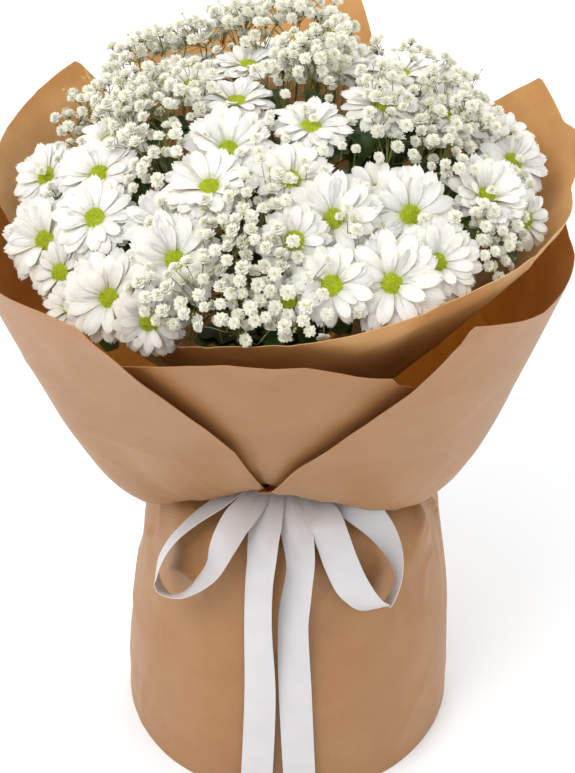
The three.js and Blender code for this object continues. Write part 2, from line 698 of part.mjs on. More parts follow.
function domeHeight(x, y) {
  return DOME_TOP - DOME_DROP * (Math.hypot(x, y) / DOME_RADIUS) ** DOME_POWER;
}

// True where a ball about the point stays clear of every daisy's petals.
function clearOfDaisies(point, ball) {
  return DAISIES.every(([, x, y, z, radius, turn, tilt]) => {
    const from = point.clone().sub(new THREE.Vector3(x, y, z));
    const height = from.dot(facing(turn, tilt));
    const out = Math.sqrt(Math.max(0, from.lengthSq() - height * height));
    return out > radius + ball + 1 || Math.abs(height - CUP * out) > ball + 2.5;
  });
}

function clearLine(from, to, ball) {
  for (let k = 0; k <= 12; k += 1) {
    if (!clearOfDaisies(from.clone().lerp(to, k / 12), ball)) return false;
  }
  return true;
}

// A floret is a small ruffled star on its pedicel, in one closed body.
function floretGeometry(place, start) {
  const up = place.clone().sub(start).normalize();
  const side = around(90, 1, 0).addScaledVector(up, -up.x).normalize();
  const other = up.clone().cross(side);
  const spot = (angle, reach, centre, height) =>
    centre.clone().addScaledVector(up, height)
      .addScaledVector(side, reach * Math.cos(angle))
      .addScaledVector(other, reach * Math.sin(angle));
  const points = [spot(0, 0, place, FLORET_HALF)];
  for (let k = 0; k < 8; k += 1) {
    points.push(spot((k * Math.PI) / 4, k % 2 ? FLORET_NOTCH : FLORET, place, k % 2));
  }
  for (const [centre, height] of [[place, -FLORET_HALF], [start, 0]]) {
    for (let k = 0; k < 3; k += 1) points.push(spot((2 * k * Math.PI) / 3, PEDICEL, centre, height));
  }
  const ring = (k) => 1 + (k % 8);
  const neck = (k) => 9 + (Math.round((3 * (k % 8)) / 8) % 3);
  const triangles = [];
  for (let k = 0; k < 8; k += 1) {
    triangles.push([0, ring(k), ring(k + 1)], [ring(k + 1), ring(k), neck(k)]);
    if (neck(k) !== neck(k + 1)) triangles.push([ring(k + 1), neck(k), neck(k + 1)]);
  }
  for (let k = 0; k < 3; k += 1) {
    const next = (k + 1) % 3;
    triangles.push([12 + k, 12 + next, 9 + next], [12 + k, 9 + next, 9 + k]);
  }
  triangles.push([12, 14, 13]);
  return geometryFrom(points, triangles);
}

function clusterPieces([x, y, spread, most, lift], fork, random) {
  const joint = new THREE.Vector3(0.93 * x, 0.93 * y, domeHeight(x, y) + lift - 28);
  const places = [];
  const pieces = [solidFrom(tube([fork, joint], FILLER_TWIG, 3, 1))];
  for (let tries = 0; tries < 60 && places.length < most; tries += 1) {
    const angle = 2 * Math.PI * random();
    const out = spread * Math.sqrt(random());
    const place = new THREE.Vector3(x + out * Math.cos(angle), y + out * Math.sin(angle), 0);
    place.z = domeHeight(place.x, place.y) + lift + 2 + 12 * random();
    const start = joint.clone().lerp(fork, 0.02 + 0.05 * places.length);
    const apart = places.every((other) => other.distanceTo(place) > 2.2 * FLORET);
    if (!apart || !clearOfDaisies(place, FLORET) || !clearLine(start, place, PEDICEL)) continue;
    places.push(place);
    pieces.push(solidFrom(floretGeometry(place, start)));
  }
  return pieces;
}

function fillerSolid(name) {
  const fork = new THREE.Vector3(...CLUSTERS[name].fork);
  const forkTurn = (Math.atan2(fork.x, -fork.y) * 180) / Math.PI;
  const turn = forkTurn - spiralTurn(FILLER_RING, FILLER_LEAN);
  const stem = stemPoints(turn, FILLER_RING, FILLER_LEAN, fork, FILLER_STEM);
  const random = seeded(SEED + Math.round(forkTurn));
  const pieces = [solidFrom(tube(stem, FILLER_STEM, 3, 6))];
  for (const cluster of CLUSTERS[name].clusters) pieces.push(...clusterPieces(cluster, fork, random));
  return joined(pieces);
}

const bunch = new THREE.Group();
bunch.add(meshOf("paper_skirt", skirtGeometry(), KRAFT, 0.75));
for (const [name, sheet] of Object.entries(SHEETS)) {
  bunch.add(meshOf(name, funnelGeometry(sheet), KRAFT, 0.75));
}
bunch.add(meshOf("paper_front", sheetFrom(spaced(FRONT_TOP, 16).map(frontColumn), PAPER), KRAFT, 0.75));
bunch.add(meshOf("paper_collar", sheetFrom(spaced(COLLAR_TOP, 24).map(collarColumn), PAPER), KRAFT, 0.75));
bunch.add(meshOf("ribbon", geometryOf(ribbonSolid()), SATIN, 0.35));
for (const name of Object.keys(SPRAYS)) {
  bunch.add(meshOf(name, geometryOf(spraySolid(name)), GREEN, 0.6));
}
for (const name of Object.keys(CLUSTERS)) {
  bunch.add(meshOf(name, geometryOf(fillerSolid(name)), FILLER, 0.7));
}
for (const daisy of DAISIES) {
  const ring = meshOf(daisy[0], petalRing(daisy[4]), PETAL, 0.5);
  ring.applyMatrix4(daisyMatrix(daisy));
  bunch.add(ring);
}

export default bunch;
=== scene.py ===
# %% [markdown]
# # A hand-tied bunch of white daisies
#
# The real thing is a florist's bunch: spray chrysanthemums of the daisy kind and clouds of gypsophila, tied
# at the waist, wrapped in brown kraft paper and finished with a white satin bow. It stands on its own cut
# stems, inside a skirt of the same paper.
#
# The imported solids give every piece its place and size. Here each of them is made again as the material it
# really is: thin creased paper, woven ribbon, and petals, leaves and florets with their own curves.
# Lengths in the tables are millimetres, as a florist would measure them, and meshes are in metres.
# A turn is degrees round from the front, growing to the right.

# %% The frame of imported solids
import json
import math
import random

import bpy
import numpy as np
from mathutils import Matrix, Vector, noise

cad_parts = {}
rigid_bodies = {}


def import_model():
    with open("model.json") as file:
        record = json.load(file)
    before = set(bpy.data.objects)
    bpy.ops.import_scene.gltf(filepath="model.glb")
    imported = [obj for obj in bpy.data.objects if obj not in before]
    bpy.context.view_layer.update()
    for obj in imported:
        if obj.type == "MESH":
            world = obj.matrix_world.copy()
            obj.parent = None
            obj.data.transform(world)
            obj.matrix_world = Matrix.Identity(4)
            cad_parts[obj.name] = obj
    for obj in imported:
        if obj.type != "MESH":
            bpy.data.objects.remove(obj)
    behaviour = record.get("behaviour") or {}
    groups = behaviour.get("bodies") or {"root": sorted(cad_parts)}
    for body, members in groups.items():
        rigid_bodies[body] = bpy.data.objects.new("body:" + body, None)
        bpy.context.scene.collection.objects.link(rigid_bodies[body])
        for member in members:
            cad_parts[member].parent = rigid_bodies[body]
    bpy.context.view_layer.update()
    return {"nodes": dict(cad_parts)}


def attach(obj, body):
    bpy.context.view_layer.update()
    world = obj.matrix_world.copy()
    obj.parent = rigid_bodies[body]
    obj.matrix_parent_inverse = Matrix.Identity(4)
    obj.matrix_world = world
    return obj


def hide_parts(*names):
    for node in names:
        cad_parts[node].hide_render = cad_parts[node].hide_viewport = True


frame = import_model()
MM = 0.001
print("packed nodes:", len(frame["nodes"]))

# %% [markdown]
# ## The view and the light
#
# The photograph looks down on the bunch at 38 degrees from about 1.3 m, which a long lens at that distance
# gives. The light is a photographer's white sweep: a large soft light high in front, a second one from the
# right to lift the shade, and a white surround, so that white petals keep their form against a white floor.

# %% The camera and the studio
IMAGE_HEIGHT = 773
FOCAL_PIXELS = 1789
ELEVATION = math.radians(38)
DISTANCE = 1.335
TARGET = Vector((0, 0, 0.309))
SENSOR = 36  # for the longer side of the picture, which is its height
LIT_POINT = Vector((0, 0, 0.35))

camera = bpy.data.objects.new("camera", bpy.data.cameras.new("camera"))
bpy.context.scene.collection.objects.link(camera)
camera.data.sensor_width = SENSOR
camera.data.lens = FOCAL_PIXELS * SENSOR / IMAGE_HEIGHT
camera.location = TARGET + DISTANCE * Vector((0, -math.cos(ELEVATION), math.sin(ELEVATION)))
camera.rotation_euler = (TARGET - camera.location).to_track_quat("-Z", "Y").to_euler()
bpy.context.scene.camera = camera
bpy.context.scene.view_settings.view_transform = "Standard"
bpy.context.scene.view_settings.look = "None"


def soft_light(name, place, size, watts):
    """A square studio light that faces the bunch."""
    light = bpy.data.objects.new(name, bpy.data.lights.new(name, "AREA"))
    bpy.context.scene.collection.objects.link(light)
    light.data.size = size
    light.data.energy = watts
    light.location = place
    light.rotation_euler = (LIT_POINT - Vector(place)).to_track_quat("-Z", "Y").to_euler()


soft_light("key_light", (-1.1, -1.0, 2.3), size=1.5, watts=36)
soft_light("fill_light", (1.8, -0.9, 1.3), size=1.6, watts=7)
soft_light("back_light", (0.4, 1.6, 1.9), size=1.2, watts=16)
world = bpy.data.worlds.new("white_surround")
bpy.context.scene.world = world
world.use_nodes = True
world.node_tree.nodes["Background"].inputs["Color"].default_value = (1, 1, 1, 1)
world.node_tree.nodes["Background"].inputs["Strength"].default_value = 0.85
print("camera", [round(x, 3) for x in camera.location], "lens", round(camera.data.lens, 1))

# %% [markdown]
# ## Small helpers
#
# Colours are written as the sRGB hex values that a colour picker shows, and Blender's sockets want linear
# numbers, so one function turns them. Another adds a node with its settings and links, for materials and for
# Geometry Nodes alike. A third makes a plain mesh of points and faces, shaded smooth except where two faces
# meet at more than the rim angle, so that a petal's edge doesn't turn dark.

# %% Colour, node and mesh helpers
RIM_ANGLE = math.radians(70)


def linear(hex_colour, alpha=1.0):
    parts = [int(hex_colour[i:i + 2], 16) / 255 for i in (1, 3, 5)]
    return (*[c / 12.92 if c <= 0.04045 else ((c + 0.055) / 1.055) ** 2.4 for c in parts], alpha)


def add_node(tree, kind, inputs=None, **settings):
    """Adds a node, sets its properties, and gives each named input a value or a link."""
    node = tree.nodes.new(kind)
    for name, value in settings.items():
        setattr(node, name, value)
    for socket, value in (inputs or {}).items():
        if isinstance(value, bpy.types.NodeSocket):
            tree.links.new(value, node.inputs[socket])
        else:
            node.inputs[socket].default_value = value
    return node


def mesh_object(name, points, faces, materials, face_materials=None, uv=None, smooth=True):
    """A mesh in metres from points in millimetres, with a (u, v) for each point where a pattern follows."""
    mesh = bpy.data.meshes.new(name)
    mesh.from_pydata((np.asarray(points) * MM).tolist(), [], [tuple(int(i) for i in f) for f in faces])
    for material in materials:
        mesh.materials.append(material)
    if face_materials is not None:
        mesh.polygons.foreach_set("material_index", np.asarray(face_materials, np.int32))
    if uv is not None:
        corners = np.empty(len(mesh.loops), np.int32)
        mesh.loops.foreach_get("vertex_index", corners)
        layer = mesh.uv_layers.new(name="surface")
        layer.data.foreach_set("uv", np.asarray(uv, np.float32)[corners].ravel())
    mesh.polygons.foreach_set("use_smooth", np.full(len(mesh.polygons), smooth))
    mesh.update()
    mesh.set_sharp_from_angle(angle=RIM_ANGLE)
    return bpy.data.objects.new(name, mesh)


def finish_piece(piece, nodes):
    """Links a piece, attaches it to the root body and lets it stand for its CAD nodes, which it hides."""
    if piece.name not in bpy.context.scene.collection.objects:
        bpy.context.scene.collection.objects.link(piece)
    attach(piece, "root")
    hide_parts(*nodes)
    print(piece.name, len(piece.data.polygons), "faces")
    return piece


def new_material(name, values):
    """A material with one Principled shader and its set values, and the tree and shader to build on."""
    material = bpy.data.materials.new(name)
    material.use_nodes = True
    shader = material.node_tree.nodes["Principled BSDF"]
    for socket, value in values.items():
        shader.inputs[socket].default_value = value
    return material, material.node_tree, shader


# %% [markdown]
# ## Kraft paper
#
# Florist's kraft is unbleached wood pulp, pressed on ribbed rollers. The face that was on the roller is a
# pinkish tan and a little smooth; the other is a warmer golden brown. That golden face is painted lighter than
# the paper's own tone, as painted bounce light in the shaded pockets between the sheets. Up close the eye
# finds long fibres, soft blotches where the pulp was thicker, and patches of fine slanting ribs about 2.5 mm
# apart, where the roller bit deeper. Fibres are 1 to 3 mm long and a few hundredths wide, too fine for this
# picture, so they are drawn as streaks 0.5 mm wide. Some light comes through the sheet and lifts the shade
# between two sheets.

# %% Kraft paper, both faces
FIBRE = 0.5
RIB = 2.6
WAVES_PER_RIB = 0.31  # a Wave Texture's bands lie about a third of a unit apart
RIB_SLANT = 1.1
PATCH = 70
BLOTCH = 60


def kraft_paper(name, light, middle, dark, roughness, rib_depth, through):
    """Pressed wood pulp paper. It reads the sheet's own UV map, which is in metres along and up the sheet."""
    material, tree, shader = new_material(name, {
        "Specular IOR Level": 0.35, "Subsurface Weight": through, "Subsurface Radius": (1.0, 0.75, 0.45),
        "Subsurface Scale": 2.5 * MM})
    place = add_node(tree, "ShaderNodeUVMap", uv_map="surface").outputs["UV"]
    solid = add_node(tree, "ShaderNodeTexCoord").outputs["Object"]
    streaks = add_node(tree, "ShaderNodeMapping", {"Vector": place, "Scale": (1, 0.18, 1)}).outputs["Vector"]
    fibres = add_node(tree, "ShaderNodeTexNoise",
                      {"Vector": streaks, "Scale": 1 / (FIBRE * MM), "Detail": 2, "Roughness": 0.6})
    blotches = add_node(tree, "ShaderNodeTexNoise",
                        {"Vector": solid, "Scale": 1 / (BLOTCH * MM), "Detail": 5, "Roughness": 0.62})
    slanted = add_node(tree, "ShaderNodeMapping", {"Vector": place, "Rotation": (0, 0, RIB_SLANT)}).outputs[0]
    ribs = add_node(tree, "ShaderNodeTexWave",
                    {"Vector": slanted, "Scale": WAVES_PER_RIB / (RIB * MM), "Distortion": 0.6, "Detail": 1},
                    bands_direction="X", wave_profile="SIN")
    patches = add_node(tree, "ShaderNodeTexNoise", {"Vector": solid, "Scale": 1 / (PATCH * MM), "Detail": 1})
    pressed_here = add_node(tree, "ShaderNodeMapRange", {"Value": patches.outputs["Fac"], "From Min": 0.52,
                                                         "From Max": 0.66, "To Max": rib_depth})
    tone = add_node(tree, "ShaderNodeValToRGB", {"Fac": blotches.outputs["Fac"]})
    first, last = tone.color_ramp.elements
    first.position, last.position = 0.25, 0.75
    first.color, last.color = linear(dark), linear(light)
    tone.color_ramp.elements.new(0.5).color = linear(middle)
    speckled = add_node(tree, "ShaderNodeMix",
                        {"Factor": 0.16, 6: tone.outputs["Color"], 7: fibres.outputs["Color"]},
                        data_type="RGBA", blend_type="SOFT_LIGHT")
    tree.links.new(speckled.outputs[2], shader.inputs["Base Color"])
    rough = add_node(tree, "ShaderNodeMapRange", {"Value": fibres.outputs["Fac"], "To Min": roughness - 0.06,
                                                  "To Max": roughness + 0.08})
    tree.links.new(rough.outputs["Result"], shader.inputs["Roughness"])
    pressed = add_node(tree, "ShaderNodeBump", {"Height": ribs.outputs["Fac"], "Distance": 0.2 * MM,
                                                "Strength": pressed_here.outputs["Result"]})
    rubbed = add_node(tree, "ShaderNodeBump", {"Height": fibres.outputs["Fac"], "Strength": 0.35,
                                               "Distance": 0.1 * MM, "Normal": pressed.outputs["Normal"]})
    tree.links.new(rubbed.outputs["Normal"], shader.inputs["Normal"])
    return material


kraft_outside = kraft_paper("kraft_paper_smooth_face", "#A67A51", "#A07348", "#9A6D43",
                            roughness=0.44, rib_depth=0.7, through=0.3)
# The rough face's colours are painted lighter than the paper's own, as painted bounce light in the pockets
# between sheets.
kraft_inner_face_painted_lighter = kraft_paper("kraft_paper_rough_face_painted_lighter", "#C39B6E", "#B98E5B", "#AD814C",
                           roughness=0.62, rib_depth=0.35, through=0.5)
print("two faces of kraft paper")

# %% [markdown]
# ## The sheets of paper
#
# Each sheet is a grid of points: columns run round the bunch and rows run up it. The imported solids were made
# from the same few numbers, so the same shapes come back here, finer. What the solids leave out is paper's
# own behaviour. It bends in one direction at a time, so it gathers in long folds that run out of the tie and
# fade, and handling leaves it a net of shallow creases. Ridged noise gives such a net: it is smooth nearly
# everywhere, with sharp lines where it changes sign. A Cloth simulation would stretch what paper can't.

# %% Helpers for the sheets
WAIST_LOW = 258
WAIST_HIGH = 277
FOOT = WAIST_HIGH + 1
SHEET_STEP = 3.6


def around(turn, radius, height):
    angle = np.radians(turn)
    return np.stack([radius * np.sin(angle), -radius * np.cos(angle), height + 0 * angle], -1)


def smooth(stops, place, item=1):
    """A smooth curve through stops, flat beyond its ends."""
    x = np.array([stop[0] for stop in stops], float)
    y = np.array([stop[item] for stop in stops], float)
    low = np.maximum(np.arange(len(x)) - 1, 0)
    high = np.minimum(np.arange(len(x)) + 1, len(x) - 1)
    slope = (y[high] - y[low]) / (x[high] - x[low])
    place = np.clip(place, x[0], x[-1])
    k = np.clip(np.searchsorted(x, place) - 1, 0, len(x) - 2)
    width = x[k + 1] - x[k]
    t = (place - x[k]) / width
    rise = y[k + 1] - y[k]
    start, end = slope[k] * width, slope[k + 1] * width
    return y[k] + t * (start + t * (3 * rise - 2 * start - end + t * (start + end - 2 * rise)))


def noise_at(points, size, seed):
    """Smooth noise from -1 to 1 at points in millimetres, with lumps of the given size in x, y and z."""
    size = np.broadcast_to(size, 3)
    return np.array([noise.noise(Vector(p / size) + Vector((seed, 2 * seed, 3 * seed)))
                     for p in points.reshape(-1, 3)]).reshape(points.shape[:-1])


def creased(points, size, seed):
    """Ridged noise: 1 along sharp crease lines and near 0 between them."""
    return (1 - np.minimum(1, 4 * np.abs(noise_at(points, size, seed)))) ** 2


def outward(grid):
    """The unit normal at each point of a grid of columns and rows."""
    out = np.cross(np.gradient(grid, axis=0), np.gradient(grid, axis=1))
    return out / np.maximum(np.linalg.norm(out, axis=-1, keepdims=True), 1e-9)


def sheet_of(name, grid, thickness, materials):
    """A closed sheet about a grid, its first material outside and its second inside."""
    columns, rows, _ = grid.shape
    out = outward(grid) * thickness / 2
    points = np.concatenate([(grid + out).reshape(-1, 3), (grid - out).reshape(-1, 3)])
    index = np.arange(columns * rows).reshape(columns, rows)
    back = index + columns * rows
    near, far = index[:-1], index[1:]
    outside = np.stack([near[:, :-1], far[:, :-1], far[:, 1:], near[:, 1:]], -1).reshape(-1, 4)
    inside = (outside + columns * rows)[:, ::-1]
    edges = [
        np.stack([far[:, 0], near[:, 0], back[:-1, 0], back[1:, 0]], -1),
        np.stack([near[:, -1], far[:, -1], back[1:, -1], back[:-1, -1]], -1),
        np.stack([index[0, :-1], index[0, 1:], back[0, 1:], back[0, :-1]], -1),
        np.stack([index[-1, 1:], index[-1, :-1], back[-1, :-1], back[-1, 1:]], -1),
    ]
    faces = np.concatenate([outside, inside, *edges])
    which = np.zeros(len(faces), int)
    which[len(outside):2 * len(outside)] = len(materials) - 1
    along = np.linalg.norm(np.diff(grid, axis=0), axis=-1).mean(1)
    along = np.concatenate([[0], np.cumsum(along)])[:, None] + np.zeros((1, rows))
    steps = np.linalg.norm(np.diff(grid, axis=1), axis=-1)
    up = np.concatenate([np.zeros((columns, 1)), np.cumsum(steps, 1)], 1)
    uv = np.stack([along, up], -1).reshape(-1, 2) * MM
    return mesh_object(name, points, faces, materials, which, np.concatenate([uv, uv]))


def opening(climb, bow, flat):
    """How far a sheet has opened from its foot to its rim, for a share of the climb between them."""
    low = np.clip(climb, 0, 1) ** bow
    return np.where(climb < 1, low, 1 + flat * (climb - 1))


PAPER = 0.5
print("sheets are", PAPER, "mm thick, with a point every", SHEET_STEP, "mm")

# %% [markdown]
# ### The skirt
#
# The skirt is one sheet rolled round the stems, with its edges lapped at the back. It hangs almost straight
# to the table and is drawn in under the collar, where it is crumpled. Behind the bow it is pressed flat, so
# no crease stands out through the ribbon.

# %% The skirt
SKIRT = [(0, 133), (60, 129.5), (120, 124.5), (175, 116), (214, 110), (233, 99), (244, 77), (250, 50),
         (255, 17.6), (276, 17.6)]
SKIRT_SEAM = 172
SKIRT_LAP = 9
SKIRT_SWAY = 4


def skirt_rows():
    """Heights up the skirt, close together where it turns in over its shoulder."""
    return np.concatenate([np.linspace(0.4, 205, 58), np.linspace(208, 243, 14), np.linspace(245, 255, 14),
                           np.linspace(258, 276, 4)])


def skirt_grid():
    turns = np.arange(SKIRT_SEAM, SKIRT_SEAM + 360 + SKIRT_LAP + 0.1, 1.6)
    turn, height = np.meshgrid(turns, skirt_rows(), indexing="ij")
    loose = np.clip((WAIST_LOW - height) / 30, 0, 1)
    gathered = np.exp(-(((height - 222) / 34) ** 2))
    pleats = np.sin(np.radians(turn * 7 + 30)) + 0.7 * np.sin(np.radians(turn * 12 + 80))
    lapped = 0.9 * np.clip((turn - SKIRT_SEAM - 350) / 10, 0, 1)
    radius = smooth(SKIRT, height) + 1.8 * pleats * gathered * loose + lapped
    grid = around(turn, radius, height)
    grid[..., 0] += SKIRT_SWAY * np.minimum(1, height / 200) * loose
    return grid, loose, gathered


def skirt_sheet():
    grid, loose, gathered = skirt_grid()
    out = outward(grid)
    free = loose * np.clip(grid[..., 2] / 25, 0.25, 1)
    from_bow = np.degrees(np.arccos(-out[..., 1] / np.linalg.norm(out[..., :2], axis=-1)))
    crumpled = np.exp(-(((grid[..., 2] - 216) / 46) ** 2)) * np.clip((from_bow - 22) / 20, 0.25, 1)
    depth = 2.2 * noise_at(grid, (70, 70, 190), 3) + 1.6 * creased(grid, (62, 62, 130), 11)
    depth += (0.5 + 3.4 * crumpled) * creased(grid, (32, 32, 56), 23)
    depth += 4.0 * crumpled * noise_at(grid, (23, 23, 38), 37)
    depth = np.minimum(depth - 1.2 * gathered, 6 * np.clip((from_bow - 38) / 15, 0.03, 1))
    grid += out * (depth * free)[..., None]
    grid[..., 2] = np.maximum(grid[..., 2], 0.3)
    return sheet_of("kraft_skirt", grid, PAPER, [kraft_outside, kraft_inner_face_painted_lighter])


finish_piece(skirt_sheet(), ["paper_skirt"])

# %% [markdown]
# ### The sheets round the flowers
#
# Three sheets stand round the flowers like pieces of one funnel, each with its own cut top edge. They share
# the folds that run out of the tie, because paper that is tied together creases together. The right sheet
# shows the lighter golden face on both sides: its outside is painted with that face as painted bounce light,
# for the shade between the front sheet and the collar.

# %% The three inner sheets
FUNNEL_RIM = 193
FUNNEL_RIM_HEIGHT = 485
FUNNELS = {
    "paper_back": (14.8, 4, [(148, 440), (157, 462), (161, 486), (165, 518), (170, 531), (186, 509),
                             (198, 498), (205, 494), (215, 509)]),
    "paper_left": (14.8, 15, [(218, 462), (221, 472), (225, 497), (238, 490), (257, 483), (270, 474),
                              (277, 452), (292, 400)]),
    "paper_right": (14.8, 0, [(-40, 430), (-30, 452), (-17, 470), (0, 484), (18, 497), (40, 502), (59, 496),
                              (70, 491), (91, 480), (103, 500), (109, 496), (120, 511), (129, 481),
                              (145, 455)]),
}  # radius at the tie, extra radius at the rim, then the cut top edge as turn and height
FOLDS = ((9, 1), (17, 0.7), (29, 0.5))  # how many waves go round, and how strong they are


def cut_edge(top, turn):
    """The height of a cut top edge, straight from corner to corner, as scissors leave it."""
    return np.interp(turn, [stop[0] for stop in top], [stop[1] for stop in top])


def fold_lines(turn, seed):
    """The sharp folds that run out of the tie, as a value from -1 to 1 for each turn."""
    angle = np.radians(turn)
    wave = sum(size * np.sin(count * angle + k * seed) for k, (count, size) in enumerate(FOLDS, 1))
    return 1 - 2 * np.minimum(1, np.abs(wave) / 1.4)


def climb_rows(count):
    """Shares of the climb for the rows of a sheet, closer together near its foot."""
    return np.linspace(0, 1, count) ** 1.25


def funnel_radius(turn, height, waist, flare):
    """The inner sheets' radius. Their rim leans to the back left, and swells where the right sheet ends."""
    climb = np.maximum(0, (height - FOOT) / (FUNNEL_RIM_HEIGHT - FOOT))
    angle = np.radians(turn)
    rim = FUNNEL_RIM + flare - 10 * np.cos(angle) - 3 * np.sin(angle)
    rim += 9 * np.exp(-(((turn - 105) / 24) ** 2))
    return waist + (rim - waist) * opening(climb, 0.85, 0.45) + 1.6 * np.sin(5 * angle) * climb


def funnel_sheet(node):
    waist, flare, top = FUNNELS[node]
    turns = np.arange(top[0][0], top[-1][0] + 0.01, math.degrees(SHEET_STEP / FUNNEL_RIM))
    share, turn = np.meshgrid(climb_rows(62), turns)
    height = FOOT + (cut_edge(top, turn) - FOOT) * share
    height = np.concatenate([np.full((len(turns), 1), WAIST_LOW + 1.0), height], 1)
    turn = np.concatenate([turn[:, :1], turn], 1)
    climb = np.maximum(0, (height - FOOT) / (FUNNEL_RIM_HEIGHT - FOOT))
    grid = around(turn, funnel_radius(turn, height, waist, flare), height)
    out = outward(grid)
    edge = np.clip((np.concatenate([share[:, :1], share], 1) - 0.9) / 0.1, 0, 1)
    depth = 1.6 * fold_lines(turn, 1.0) * np.clip(climb * 3, 0, 1) * np.clip(1.15 - climb, 0, 1)
    depth += climb * (2.2 * noise_at(grid, (80, 80, 120), 5) + 1.1 * creased(grid, (58, 58, 80), 31))
    depth += 1.2 * edge ** 2 * (0.4 + noise_at(grid, (60, 60, 60), 8))
    grid += out * depth[..., None]
    # The right sheet's outside takes the lighter golden face, as painted bounce light in its shade.
    outside = kraft_inner_face_painted_lighter if node == "paper_right" else kraft_outside
    return sheet_of(node.replace("paper", "kraft") + "_sheet", grid, PAPER, [outside, kraft_inner_face_painted_lighter])


for node in FUNNELS:
    finish_piece(funnel_sheet(node), [node])

# %% [markdown]
# ### The collar and the front sheet
#
# The collar is the widest sheet. It leaves the tie nearly flat, sags over the bow in a soft fold and turns up
# into a bowl round the others. Its two front edges run down to the tie, where the right one laps the left.
# The front sheet lies just inside the bowl and closes the gap between those edges, so both follow one set of
# lines.

# %% The collar and the front sheet
COLLAR_TOP = [(-8.5, 286), (-4, 312), (3, 356), (13, 405), (22, 444), (27, 468), (31, 499), (44, 477),
              (55, 459), (72, 450), (90, 442), (135, 448), (180, 455), (235, 462), (270, 478), (307, 490),
              (326, 501), (331, 482), (334, 456), (343, 410), (348, 372), (349.5, 314)]
FRONT_TOP = [(307, 413), (326, 450), (334, 464), (343, 477), (349.5, 484), (363, 480), (373, 463),
             (380, 455), (381.5, 447), (391, 429), (404, 399)]
COLLAR_FOLD = [(-9, 73, 275), (7, 79, 273), (26, 92, 267), (36, 103, 262), (53, 116, 256), (67, 121, 252),
               (90, 122, 250), (270, 122, 248), (300, 121, 250), (316, 95, 258), (334, 73, 265),
               (350, 72, 275)]  # turn, radius and height of the soft fold
BOWL_RIM = 218
BOWL_RIM_HEIGHT = 490
COLLAR_LAP = 5


def bowl_column(turn, waist, rise, inside, top):
    """A sheet's line from the tie over its soft fold to its top edge, as points about 3.5 mm apart."""
    place = turn - 360 if turn > 350 else turn
    fold_radius, fold_height = smooth(COLLAR_FOLD, place), smooth(COLLAR_FOLD, place, 2) + rise
    stops = [(waist, WAIST_LOW + 0.3 * rise), (waist, WAIST_HIGH - 4 + 0.3 * rise),
             (waist + 2.5, WAIST_HIGH + 2 + 0.6 * rise), (waist + 9, WAIST_HIGH + 5 + 0.8 * rise),
             (0.75 * fold_radius + 10, fold_height + 5)]
    foot = [(i, *stop) for i, stop in enumerate(stops)]
    climb = (cut_edge(top, turn) - fold_height) * np.linspace(0, 1, 64) ** 1.35
    rim = BOWL_RIM - inside - 9 * math.sin(math.radians(turn))
    radius = fold_radius + (rim - fold_radius) * opening(climb / (BOWL_RIM_HEIGHT - fold_height), 0.7, 0.5)
    height = fold_height + climb
    foot += [(len(foot), radius[0], height[0]), (len(foot) + 1, radius[4], height[4])]
    place = np.linspace(0, len(stops) + 1, 26)[:-1]
    radius = np.concatenate([smooth(foot, place), radius[4:]])
    height = np.concatenate([smooth(foot, place, 2), height[4:]])
    return around(np.full(len(radius), turn), radius, height)


def bowl_sheet(name, turns, waist, rise, inside, top, lap):
    grid = np.stack([bowl_column(turn, waist, rise, inside, top) for turn in turns])
    turn = turns[:, None] + np.zeros(grid.shape[:2])
    row = np.linspace(0, 1, grid.shape[1])[None] + np.zeros(grid.shape[:2])
    out = outward(grid)
    from_tie = np.hypot(grid[..., 0], grid[..., 1]) - waist
    loose = np.clip(from_tie / 60, 0, 1)
    depth = 0.8 * fold_lines(turn, 2.0) * loose * np.clip(1.3 - from_tie / 120, 0, 1)
    depth += loose * (2.4 * noise_at(grid, (110, 110, 130), 13) + 0.7 * creased(grid, (105, 105, 60), 41))
    depth += 1.8 * np.clip((row - 0.9) / 0.1, 0, 1) ** 2 * (0.3 + noise_at(grid, (60, 60, 60), 17))
    depth += lap * np.clip((1 - turn) / 6, 0, 1) * np.clip(from_tie / 10, 0.2, 1)
    return sheet_of(name, grid + out * depth[..., None], PAPER, [kraft_outside, kraft_inner_face_painted_lighter])


collar_turns = np.arange(COLLAR_TOP[0][0] - COLLAR_LAP, 350.01, 1.0)
front_turns = np.arange(FRONT_TOP[0][0], FRONT_TOP[-1][0] + 0.01, 1.0)
finish_piece(bowl_sheet("kraft_collar", collar_turns, waist=19.1, rise=0, inside=0, top=COLLAR_TOP, lap=2.2),
             ["paper_collar"])
finish_piece(bowl_sheet("kraft_front_sheet", front_turns, waist=16.4, rise=3, inside=12, top=FRONT_TOP,
                        lap=0), ["paper_front"])

# %% [markdown]
# ## The satin ribbon
#
# Satin is woven so that most threads lie on one face, which gives it a long soft highlight across the
# threads. Threads are a tenth of a millimetre, so the fine lines along the ribbon are drawn 0.8 mm apart to
# show at all. The bow is 25 mm ribbon: a band round the tie, a knot, two loops and two tails. Each strip is
# swept along its own points, rolls on edge where a loop bends, and narrows where the knot gathers it.

# %% Satin
THREAD = 0.8
CLOUDS_PER_METRE = 45


